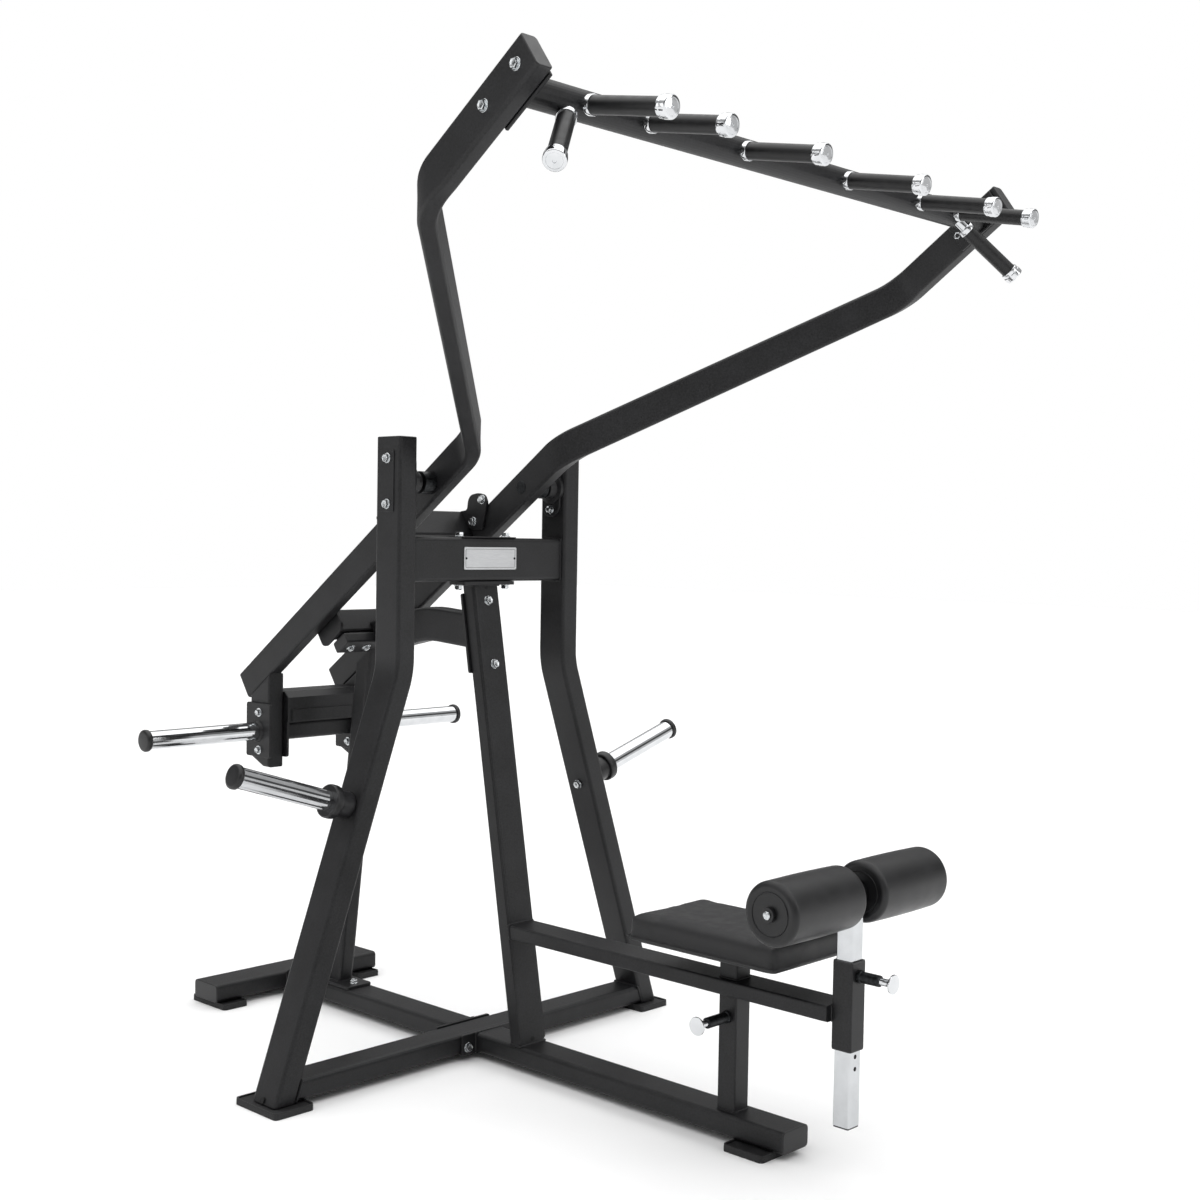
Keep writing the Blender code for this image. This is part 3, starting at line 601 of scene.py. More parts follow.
@dataclass
class Fixing:
    """Sizes of a threaded fixing's visible end."""

    head: Head = Head.BOLT
    across: float = 0.018
    height: float = 0.0075
    washer: float = 0.0125

    def fit(self, piece: Workpiece, origin: Vector, way: Vector) -> None:
        """Add the fixing to a piece of fixings, standing on a face."""
        place = facing(origin, way, Vector((0.3, 0.4, 0.86)))
        w = self.washer
        if self.head is Head.SCREW:
            r, h = self.across / 2, self.height
            piece.turned([(0, 0), (r, 0), (r, h * 0.35), (r * 0.86, h * 0.75),
                          (r * 0.55, h), (r * 0.45, h), (r * 0.42, h * 0.45), (0, h * 0.4)],
                         place, 20)
            return
        piece.turned([(0, 0), (w, 0), (w, 0.0012), (w - 0.0006, WASHER_THICK),
                      (0, WASHER_THICK)], place, 28)
        part = bmesh.new()
        bmesh.ops.create_cone(part, cap_ends=True, segments=6, radius1=self.across / 1.732,
                              radius2=self.across / 1.732, depth=self.height)
        bmesh.ops.translate(part, vec=(0, 0, self.height / 2), verts=part.verts)
        top = [f for f in part.faces if f.normal.z > 0.9]
        bmesh.ops.bevel(part, geom=[e for f in top for e in f.edges], offset=0.0014,
                        segments=2, profile=0.5, affect="EDGES", material=-1)
        top = max(part.faces, key=lambda f: f.calc_center_median().z)
        bmesh.ops.inset_region(part, faces=[top], thickness=self.across * 0.16)
        drop = -0.0012 if self.head is Head.BOLT else 0.0022
        bmesh.ops.translate(part, vec=(0, 0, drop), verts=top.verts)
        piece.take(part, place @ Matrix.Translation((0, 0, WASHER_THICK)))


@dataclass
class TubeCap:
    """Black plastic plug in a tube's open end, with its thin flange and domed face."""

    width: float
    height: float
    depth: float = 0.004
    corner: float = 0.006

    def fit(self, piece: Workpiece, origin: Vector, way: Vector, up: Vector = Z) -> None:
        """Add the cap to a piece, standing on a tube's end."""
        place = facing(origin, way, up)
        piece.block((self.width, self.height, self.depth), place, self.corner,
                    min(0.0025, self.depth * 0.6), 5)
        tongue = (self.width - 0.007, self.height - 0.007, 0.012)
        piece.block(tongue, place @ Matrix.Translation((0, 0, -0.0121)), 0.003)


def frame_loop(centre: Vector, across: Vector, along: Vector, half_a: float,
               half_b: float, corner: float = 0.005, pitch: float = 0.004) -> list[Vector]:
    """Return the points of a rounded rectangle, closely spaced, for a weld bead."""
    a, b = across.normalized(), along.normalized()
    points: list[Vector] = []
    corners = [(half_a, -half_b), (half_a, half_b), (-half_a, half_b), (-half_a, -half_b)]
    for i, (u, v) in enumerate(corners):
        cu, cv = u - math.copysign(corner, u), v - math.copysign(corner, v)
        start = -math.pi / 2 + i * math.pi / 2
        arc = [(cu + corner * math.cos(start + k * math.pi / 8),
                cv + corner * math.sin(start + k * math.pi / 8)) for k in range(5)]
        nu, nv = corners[(i + 1) % 4]
        end = Vector(arc[-1])
        following = Vector((nu - math.copysign(corner, nu), nv - math.copysign(corner, nv)))
        following += Vector((math.cos(start + math.pi / 2), math.sin(start + math.pi / 2))) \
            * corner
        count = max(1, int((following - end).length / pitch))
        run = [tuple(end.lerp(following, k / count)) for k in range(1, count)]
        points += [centre + a * p + b * q for p, q in arc + run]
    return points


# ------------------------------------------------------------------------------------ base
@dataclass
class Base:
    """Floor tubes with their end caps, joint flanges, rubber shoes and fixings."""

    z0: float = 0.016
    z1: float = 0.066
    half_width: float = 0.045
    front: float = -1.028
    ear_reach: float = 0.092
    plate_thick: float = 0.008

    def build(self) -> None:
        """Make every piece of the base."""
        self.caps()
        self.joint_flanges()
        self.shoes()
        self.welds()

    def caps(self) -> None:
        """Plug the open ends of the front beam and the rear foot beam."""
        mid = (self.z0 + self.z1) / 2
        lo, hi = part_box("rear_foot_beam")
        piece = Workpiece()
        TubeCap(0.090, 0.050, corner=0.010).fit(piece, spot(0, self.front, mid), -Y)
        piece.mount("front_beam_end_cap", CAP_PLASTIC, Body.FRAME, Slot.RUBBER)
        for side, name in NAMED_SIDES:
            piece = Workpiece()
            end = Vector((side * hi.x, (lo.y + hi.y) / 2, mid))
            TubeCap(hi.y - lo.y, 0.050, corner=0.010).fit(piece, end, X * side)
            piece.mount(f"rear_foot_end_cap_{name}", CAP_PLASTIC, Body.FRAME, Slot.RUBBER)

    def joint_flanges(self) -> None:
        """Bolt the front and rear beams to the cross beam through eared plates."""
        bolts = Workpiece()
        for side, name in zip(SIDES, ("front", "rear")):
            place = facing(spot(0, side * self.half_width, self.z0 + 0.0255), Y * side)
            plate = (2 * self.ear_reach, 0.052, self.plate_thick)
            Workpiece().block(plate, place, 0.006, 0.0015).mount(
                f"{name}_joint_flange", POWDER_COAT, Body.FRAME, Slot.PAINT)
            face_y = side * (self.half_width + self.plate_thick)
            for x in (-0.072, 0.072):
                Fixing().fit(bolts, spot(x, face_y, self.z0 + 0.0185), Y * side)
        place = facing(spot(0, 0.555, self.z1), Z, Y)
        Workpiece().block((0.084, 0.150, self.plate_thick), place, 0.008, 0.002).mount(
            "rear_post_foot_plate", POWDER_COAT, Body.FRAME, Slot.PAINT)
        for y in (0.508, 0.620):
            Fixing().fit(bolts, spot(0, y, self.z1 + self.plate_thick), Z)
        bolts.mount("base_bolts", BOLT_ZINC, Body.FRAME, Slot.CHROME)

    def shoes(self) -> None:
        """Stand the base on moulded rubber shoes with a raised lip."""
        for node in ("foot_front", "foot_left", "foot_right", "foot_rear_left",
                     "foot_rear_right"):
            lo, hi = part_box(node)
            size = hi - lo
            piece = Workpiece()
            foot = Vector(((lo.x + hi.x) / 2, (lo.y + hi.y) / 2, 0))
            place = facing(foot, Z, Y)
            piece.block((size.x, size.y, size.z - 0.0032), place, 0.010, 0.0015)
            lift = place @ Matrix.Translation((0, 0, size.z - 0.0034))
            piece.ring(size.x - 0.0006, size.y - 0.0006, 0.0045, 0.0034, lift, 0.010)
            piece.mount(node + "_shoe", FOOT_RUBBER, Body.FRAME, Slot.RUBBER, (node,))

    def welds(self) -> None:
        """Lay beads where the beams meet their flanges and the foot beam."""
        piece = Workpiece()
        mid = (self.z0 + self.z1) / 2
        flange_y = self.half_width + self.plate_thick
        for y in (-flange_y, flange_y, 0.762):
            piece.bead(frame_loop(spot(0, y, mid), X, Z, self.half_width, 0.025))
        for y, z, half_x, half_y in ((0.5731, self.z1 + 0.0085, 0.025, 0.030),
                                     (STRUT_FOOT_Y, self.z1, 0.0435, 0.0205),
                                     (Seat.post_y, self.z1, 0.025, 0.025)):
            piece.bead(frame_loop(spot(0, y, z), X, Y, half_x, half_y))
        piece.mount("base_weld_beads", POWDER_COAT, Body.FRAME, Slot.PAINT)


# --------------------------------------------------------------------------------- uprights
@dataclass
class Uprights:
    """Splayed posts, their caps, bearing fixings, the crossbeam and its nameplate."""

    x: float = 0.2825
    half_x: float = 0.0285
    top: float = 1.568
    bend_z: float = 1.000
    foot_x: float = 0.626
    foot_z: float = 0.016
    bolt_rise: float = 0.0555
    store_z: float = 0.674

    def build(self) -> None:
        """Make every piece of the uprights."""
        for side, name in NAMED_SIDES:
            self.post(side, name)
            self.storage(side, name)
        self.crossbeam()
        self.welds()

    def splay(self) -> float:
        """Return the legs' angle from the vertical."""
        return math.atan2(self.foot_x - self.x, self.bend_z - self.foot_z)

    def outwards(self, side: int, less: float = 0.0) -> Vector:
        """Return the way square to a leg's outer face, or turned down by a small angle."""
        angle = self.splay() - less
        return Vector((side * math.cos(angle), 0, math.sin(angle)))

    def post(self, side: int, name: str) -> None:
        """Dress one post: smooth bend, domed cap, bearing plates and bolts."""
        smooth_copy(f"post_{name}", f"post_{name}_tube", POWDER_COAT, Body.FRAME)
        cap = Workpiece()
        place = facing(spot(side * self.x, 0, self.top), Z, Y)
        cap.block((0.057, 0.092, 0.0045), place, 0.010, 0.0032, 6)
        cap.block((0.050, 0.085, 0.014), place @ Matrix.Translation((0, 0, -0.0141)), 0.003)
        cap.mount(f"post_{name}_end_cap", CAP_PLASTIC, Body.FRAME, Slot.RUBBER)

        outer = side * (self.x + self.half_x)
        inner = side * (self.x - self.half_x)
        thick, backing = 0.008, 0.0022
        plate = Workpiece()
        plate.block((0.062, 0.150, backing), facing(spot(outer, 0.006, PIVOT_Z), X * side),
                    0.004, 0.001)
        plate.mount(f"bearing_backing_plate_{name}", POWDER_COAT, Body.FRAME, Slot.PAINT)
        bolts = Workpiece()
        for z in (PIVOT_Z - self.bolt_rise, PIVOT_Z + self.bolt_rise):
            Fixing().fit(bolts, spot(outer + side * backing, 0, z), X * side)
            Fixing(Head.NUT).fit(bolts, spot(inner - side * thick, 0, z), X * -side)
        bolts.mount(f"bearing_bolts_{name}", BOLT_ZINC, Body.FRAME, Slot.CHROME)
        lug = Workpiece()
        lug.block((0.064, 0.150, thick), facing(spot(inner, 0, PIVOT_Z), X * -side), 0.0305,
                  0.0015, 8)
        lug.mount(f"bearing_flange_{name}", POWDER_COAT, Body.FRAME, Slot.PAINT)
        # Painted shade: a near-black disc on the leg stands in for the drain hole's dark
        # inside.
        hole = Workpiece()
        hole.disc(0.0075, 0, 0.0006, facing(spot(side * (self.foot_x + 0.0305), 0.004, 0.024),
                                            self.outwards(side)))
        hole.mount(f"leg_drain_hole_shade_{name}", BORE_SHADE_PAINT, Body.FRAME, Slot.RUBBER)

    def storage(self, side: int, name: str) -> None:
        """Dress one plate storage sleeve: root collar, end cap and its through bolt."""
        out = self.outwards(side, math.radians(1.7))
        square = self.outwards(side)
        centre_x = self.foot_x - (self.store_z - self.foot_z) * math.tan(self.splay())
        centre = spot(side * centre_x, 0, self.store_z)
        root = centre + square * self.half_x
        piece = Workpiece()
        piece.turned([(0.0253, 0.001), (0.0325, 0.001), (0.0330, 0.004), (0.0330, 0.0390),
                      (0.0345, 0.0400), (0.0385, 0.0405), (0.0402, 0.0425), (0.0410, 0.0465),
                      (0.0410, 0.0575), (0.0402, 0.0615), (0.0380, 0.0638), (0.0253, 0.0640),
                      (0.0253, 0.001)], facing(root, out))
        piece.mount(f"storage_stop_collar_{name}", CAP_PLASTIC, Body.FRAME, Slot.RUBBER)
        piece = Workpiece()
        piece.turned(SLEEVE_CAP, facing(root + out * 0.3262, out))
        piece.mount(f"storage_end_cap_{name}", CAP_PLASTIC, Body.FRAME, Slot.RUBBER)
        bolt = Workpiece()
        inner = centre - square * self.half_x
        Fixing().fit(bolt, inner - out * 0.0005 - Z * 0.006, -square)
        bolt.mount(f"storage_bolt_{name}", BOLT_ZINC, Body.FRAME, Slot.CHROME)

    def crossbeam(self) -> None:
        """Bolt the crossbeam to the strut's head plate and rivet the nameplate on."""
        lo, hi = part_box("upper_crossbeam")
        mid_y = (lo.y + hi.y) / 2
        under, strip = lo.z - 0.0092, 0.0025
        head = Workpiece()
        head.block((0.176, 0.060, 0.009), facing(Vector((0, mid_y, under)), Z, Y), 0.006,
                   0.0015)
        head.mount("strut_head_plate", POWDER_COAT, Body.FRAME, Slot.PAINT)
        top = Workpiece()
        top.block((0.184, 0.058, strip), facing(Vector((0, mid_y, hi.z)), Z, Y), 0.003, 0.001)
        top.mount("crossbeam_backing_strip", POWDER_COAT, Body.FRAME, Slot.PAINT)
        bolts, nuts = Workpiece(), Workpiece()
        big = {"across": 0.019, "height": 0.009}
        for x in (-0.080, 0.080):
            Fixing(**big).fit(bolts, Vector((x, mid_y, hi.z + strip)), Z)
            Fixing(Head.NUT, **big).fit(nuts, Vector((x, mid_y, under)), -Z)
        bolts.mount("crossbeam_bolts", BOLT_ZINC, Body.FRAME, Slot.CHROME)
        nuts.mount("crossbeam_nuts", BOLT_ZINC, Body.FRAME, Slot.CHROME)

        lo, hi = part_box("nameplate")
        plate = Workpiece()
        size = (hi.x - lo.x, hi.z - lo.z, hi.y - lo.y)
        place = facing(Vector((0, hi.y, (lo.z + hi.z) / 2)), -Y)
        plate.block(size, place, 0.004, 0.0004)
        plate.mount("blank_nameplate", NAMEPLATE, Body.FRAME, Slot.PLATE, ("nameplate",))
        border = Workpiece()
        border.ring(size[0] - 0.010, size[1] - 0.010, 0.0007, 0.0004,
                    place @ Matrix.Translation((0, 0, size[2])), 0.003)
        for x in (-0.083, 0.083):
            Fixing(Head.SCREW, across=0.006, height=0.002).fit(
                border, Vector((x, lo.y, (lo.z + hi.z) / 2)), -Y)
        border.mount("nameplate_border_and_rivets", NUT_BLACK, Body.FRAME, Slot.PLATE)

    def welds(self) -> None:
        """Lay beads where the crossbeam and the cross beam meet the posts."""
        piece = Workpiece()
        lo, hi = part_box("upper_crossbeam")
        lean = self.splay()
        beam_z = 0.041
        for side in SIDES:
            face = side * (self.x - self.half_x)
            piece.bead(frame_loop(Vector((face, (lo.y + hi.y) / 2, (lo.z + hi.z) / 2)), Y, Z,
                                  0.030, 0.0555), 0.003)
            foot = self.foot_x - (beam_z - self.foot_z) * math.tan(lean)
            foot -= self.half_x / math.cos(lean)
            slant = Vector((-side * math.sin(lean), 0, math.cos(lean)))
            piece.bead(frame_loop(spot(side * foot, 0, beam_z), Y, slant, 0.045, 0.0265),
                       0.003)
        piece.mount("upright_weld_beads", POWDER_COAT, Body.FRAME, Slot.PAINT)


# Radius and height of the plastic cap on every plate sleeve, its plug first.
SLEEVE_CAP = [(0, -0.012), (0.0215, -0.012), (0.0215, -0.0005), (0.0278, -0.0005),
              (0.0291, 0.0010), (0.0295, 0.0040), (0.0295, 0.0080), (0.0284, 0.0110),
              (0.0256, 0.0130), (0.0215, 0.0139), (0.0, 0.0142)]


# ---------------------------------------------------------------------------------- columns
STRUT_SLOPE = 0.1724              # lean of the strut towards the rear
STRUT_FOOT_Y = -0.196
STRUT_HALF_Y = 0.0203
BEAM_TOP = 0.066                  # top of the base tubes


def strut_face(z: float, side: int) -> Vector:
    """Return the point on the strut's front (-1) or rear (1) face at a height."""
    return spot(0, STRUT_FOOT_Y + (z - BEAM_TOP) * STRUT_SLOPE + side * STRUT_HALF_Y, z)


@dataclass
class Columns:
    """Spine, strut fixings and stop beam, with their flanges, caps, bolts and welds."""

    half_x: float = 0.0435

    def build(self) -> None:
        """Make every piece of the columns."""
        smooth_copy("spine", "spine_tube", POWDER_COAT, Body.FRAME)
        self.strut()
        self.stops()

    def strut(self) -> None:
        """Bolt the spine's end flange through the strut."""
        lean = Vector((0, STRUT_SLOPE, 1)).normalized()
        rear = Vector((0, lean.z, -lean.y))
        thick = 0.008
        flange = Workpiece()
        flange.block((0.100, 0.205, thick), facing(strut_face(1.086, 1), rear, lean), 0.006,
                     0.002)
        flange.mount("spine_end_flange", POWDER_COAT, Body.FRAME, Slot.PAINT)
        bolts = Workpiece()
        for z in (1.170, 1.009):
            Fixing().fit(bolts, strut_face(z, -1), -rear)
            Fixing(Head.NUT).fit(bolts, strut_face(z, 1) + rear * thick + X * 0.034, rear)
        bolts.mount("strut_bolts", BOLT_ZINC, Body.FRAME, Slot.CHROME)
        # Painted shade: near-black discs on the strut's front stand in for its vent holes' dark
        # insides.
        holes = Workpiece()
        for z, r in ((1.2035, 0.005), (0.078, 0.006)):
            holes.disc(r, 0, 0.0007, facing(strut_face(z, -1), -rear))
        holes.mount("strut_vent_hole_shades", BORE_SHADE_PAINT, Body.FRAME, Slot.RUBBER)
        beads = Workpiece()
        beads.bead(frame_loop(strut_face(1.0925, 1) + rear * 0.0085, X, Vector((0, 0.15, 1)),
                              0.025, 0.045), 0.003)
        beads.bead(frame_loop(spot(0, -0.0005, 1.209), X, Y, self.half_x, 0.0205), 0.003)
        beads.mount("column_weld_beads", POWDER_COAT, Body.FRAME, Slot.PAINT)

    def stops(self) -> None:
        """Cap the tilted stop beam's ends and bolt it down from below."""
        caps = Workpiece()
        end_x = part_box("stop_beam")[1].x
        reach = 0.589
        for side in SIDES:
            TubeCap(0.058, 0.032, corner=0.006).fit(
                caps, along_arm(side * end_x, reach, -0.1035), X * side, ARM_OVER)
        caps.mount("stop_beam_end_caps", CAP_PLASTIC, Body.FRAME, Slot.RUBBER)
        bolts = Workpiece()
        for x in (-0.098, -0.045, 0.045, 0.098):
            Fixing(across=0.015, height=0.006).fit(bolts, along_arm(x, reach, -0.1195),
                                                   -ARM_OVER)
        bolts.mount("stop_beam_bolts", BOLT_ZINC, Body.FRAME, Slot.CHROME)


# ---------------------------------------------------------------------------------- pull arm
SLEEVE_FLANGE = (0.1115, 0.151, 0.008)
SLEEVE_BOLT_Y = 0.704
SLEEVE_BOLT_HEIGHTS = (0.727, 0.832)


@dataclass
class PullArm:
    """Bent lever arms with their ties, flanges, caps, weight sleeves and counterweight."""

    x: float = 0.156
    half_w: float = 0.020
    half_h: float = 0.040
    rear_y: float = 0.795
    tip: tuple[float, float, float] = (0.8085, -1.0104, 2.1878)
    plate_thick: float = 0.008

    def build(self) -> None:
        """Make every piece of the arm."""
        for side, name in NAMED_SIDES:
            smooth_copy(f"arm_{name}", f"arm_{name}_tube", POWDER_COAT, Body.ARM)
            self.caps(side, name)
            self.pivot(side, name)
            self.tie_flanges(side, name)
            self.sleeve(side, name)
        self.counterweight()

    def inner(self, side: int) -> float:
        """Return the X of an arm's inner face."""
        return side * (self.x - self.half_w)

    def end(self, side: int) -> Vector:
        """Return the middle of an arm's front end."""
        return spot(side * self.tip[0], *self.tip[1:])

    def caps(self, side: int, name: str) -> None:
        """Plug both ends of one arm."""
        piece = Workpiece()
        cap = TubeCap(2 * self.half_w, 2 * self.half_h, depth=0.005, corner=0.008)
        cap.fit(piece, self.end(side), -ARM_WAY, ARM_OVER)
        cap.fit(piece, spot(side * self.x, self.rear_y, PIVOT_Z - ARM_SLOPE * self.rear_y),
                ARM_WAY, ARM_OVER)
        piece.mount(f"arm_{name}_end_caps", CAP_PLASTIC, Body.ARM, Slot.RUBBER)

    def pivot(self, side: int, name: str) -> None:
        """Close the pivot shaft's socket on the arm's inner face."""
        hub = Workpiece()
        hub.turned([(0, 0), (0.017, 0), (0.017, 0.0008), (0.0160, 0.0016), (0.0, 0.0016)],
                   facing(spot(self.inner(side), 0, PIVOT_Z), X * -side), 36)
        hub.mount(f"pivot_socket_plug_{name}", NUT_BLACK, Body.ARM, Slot.PAINT)

    def plate(self, side: int, shape: list[tuple[float, float]], name: str) -> None:
        """Mount a plate on the arm's inner face, outlined in Y and Z."""
        stand = Matrix(((0, 0, -side, self.inner(side)), (1, 0, 0, 0), (0, 1, 0, 0),
                        (0, 0, 0, 1)))
        piece = Workpiece()
        piece.outline([(y + MID_Y, z) for y, z in shape], self.plate_thick, stand, 0.007,
                      0.0015)
        piece.mount(name, POWDER_COAT, Body.ARM, Slot.PAINT)

    def tie_flanges(self, side: int, name: str) -> None:
        """Bolt the ties to the arm through their end plates."""
        face_x = self.inner(side) - side * self.plate_thick
        way = X * -side
        self.plate(side, [(0.2335, 1.400), (0.203, 1.404), (0.199, 1.432), (0.188, 1.445),
                          (0.160, 1.450), (0.135, 1.445), (0.124, 1.425), (0.140, 1.352),
                          (0.190, 1.351)], f"upper_tie_flange_{name}")
        corners = ((0.545, -0.012), (0.545, -0.070), (0.561, -0.0845), (0.636, -0.0845),
                   (0.648, -0.074), (0.648, -0.012))
        corners = [along_arm(0, reach, height) for reach, height in corners]
        self.plate(side, [(p.y - MID_Y, p.z) for p in corners], f"middle_tie_flange_{name}")
        bolts = Workpiece()
        for y, z in ((0.142, 1.432), (0.176, 1.373)):
            Fixing().fit(bolts, spot(face_x, y, z), way)
        for height in (-0.068, -0.030):
            Fixing(across=0.015, height=0.006).fit(bolts, along_arm(face_x, 0.630, height), way)
        for z in SLEEVE_BOLT_HEIGHTS:
            Fixing(across=0.015).fit(bolts, spot(side * 0.1227, SLEEVE_BOLT_Y, z), way)
        for run in (0.034, 0.136):
            for face in (-side, side):
                out = X * face
                Fixing(across=0.017).fit(
                    bolts, self.end(side) + ARM_WAY * run + out * self.half_w, out)
        bolts.mount(f"arm_bolts_{name}", BOLT_ZINC, Body.ARM, Slot.CHROME)
        lower = Workpiece()
        lower.block(SLEEVE_FLANGE, facing(spot(side * 0.1309, 0.7088, 0.7825), way), 0.007,
                    0.0015)
        lower.mount(f"lower_tie_flange_{name}", POWDER_COAT, Body.ARM, Slot.PAINT)

    def sleeve(self, side: int, name: str) -> None:
        """Dress one weight sleeve: its bolted root flange and its end cap."""
        lo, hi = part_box(f"weight_sleeve_{name}")
        root = lo.x if side > 0 else hi.x
        end = hi.x if side > 0 else lo.x
        axis = Vector((root, (lo.y + hi.y) / 2, (lo.z + hi.z) / 2))
        way = X * side
        flange = Workpiece()
        flange.block(SLEEVE_FLANGE, facing(axis + Vector((0, -0.0042, 0.0035)), way), 0.007,
                     0.0015)
        flange.turned([(0.0252, 0.0), (0.031, 0.0), (0.0285, 0.0045), (0.0255, 0.0075),
                       (0.0252, 0.0)], facing(axis + way * self.plate_thick, way))
        flange.mount(f"weight_sleeve_flange_{name}", POWDER_COAT, Body.ARM, Slot.PAINT)
        bolts = Workpiece()
        face_x = root + side * self.plate_thick
        for z in SLEEVE_BOLT_HEIGHTS:
            Fixing(across=0.015).fit(bolts, spot(face_x, SLEEVE_BOLT_Y, z), way)
        bolts.mount(f"weight_sleeve_bolts_{name}", BOLT_ZINC, Body.ARM, Slot.CHROME)
        cap = Workpiece()
        cap.turned(SLEEVE_CAP, facing(Vector((end, axis.y, axis.z)), way))
        cap.mount(f"weight_sleeve_end_cap_{name}", CAP_PLASTIC, Body.ARM, Slot.RUBBER)

    def counterweight(self) -> None:
        """Face the counterweight with its pressed lower panel."""
        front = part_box("counterweight")[0].y
        piece = Workpiece()
        piece.block((0.236, 0.034, 0.0032), facing(Vector((0, front, 0.8235)), -Y), 0.003,
                    0.001)
        piece.mount("counterweight_front_panel", POWDER_COAT, Body.ARM, Slot.PAINT)


# ------------------------------------------------------------------------------- pull bar
@dataclass
class PullBar:
    """The handgrips on the pull bar: collar, rubber sleeve and chrome end cap of each."""

    y: float = -0.950
    z: float = 2.140
    radius: float = 0.030
    tilt: float = math.radians(10.5)
    rows: tuple[tuple[int, float], ...] = ((2, -0.643), (3, -0.475), (4, -0.180),
                                           (5, 0.180), (6, 0.475), (7, 0.643))

    def build(self) -> None:
        """Make the eight grips."""
        down = Vector((0, -math.cos(self.tilt), -math.sin(self.tilt)))
        for number, x in self.rows:
            root = spot(x, self.y, self.z) + down * (self.radius - 0.002)
            self.grip(number, root, down, 0.215)
        for number, side in ((1, -1), (8, 1)):
            out = Vector((side * 0.142, -0.104, -0.147)).normalized()
            root = spot(side * 0.658, self.y, self.z) + out * self.radius
            self.grip(number, root, out, 0.1997, 0.022)

    def grip(self, number: int, root: Vector, way: Vector, length: float,
             neck: float = 0.008) -> None:
        """Build one grip from the bar's surface outwards, past its bare neck."""
        place = facing(root, way)
        n = neck
        cap0 = length - 0.024
        metal = Workpiece()
        metal.turned([(0.0, -0.004), (0.0120, -0.004), (0.0120, n), (0.0195, n + 0.001),
                      (0.0205, n + 0.0025), (0.0205, n + 0.0115), (0.0195, n + 0.013),
                      (0.0, n + 0.013)], place)
        metal.turned([(0.0, cap0), (0.0205, cap0), (0.0212, cap0 + 0.001),
                      (0.0212, cap0 + 0.006), (0.0204, cap0 + 0.0072),
                      (0.0204, cap0 + 0.0092), (0.0225, cap0 + 0.0105),
                      (0.0225, length - 0.0035), (0.0218, length - 0.0015),
                      (0.0202, length - 0.0002), (0.0160, length), (0.0156, length - 0.0005),
                      (0.0150, length), (0.0040, length + 0.0006), (0.0034, length - 0.0008),
                      (0.0, length - 0.0010)], place)
        metal.mount(f"grip_{number}_collar_and_cap", CHROME_X, Body.ARM, Slot.CHROME)
        sleeve = Workpiece()
        sleeve.turned([(0.010, n + 0.012), (0.0172, n + 0.012), (0.0180, n + 0.0135),
                       (0.0180, cap0 - 0.001), (0.0172, cap0 + 0.0005), (0.010, cap0 + 0.0005)],
                      place)
        sleeve.mount(f"grip_{number}_rubber_sleeve", GRIP_RUBBER, Body.ARM, Slot.RUBBER,
                     (f"grip_{number}",))


# ----------------------------------------------------------------------------------- seat
RAIL_Z = 0.3455                   # height of the seat rail's middle


def guide_collar(piece: Workpiece, place: Matrix) -> None:
    """Add the plastic collar of a 50 mm guide tube's mouth to a piece."""
    piece.ring(0.050, 0.050, 0.0045, 0.003, place, 0.005)


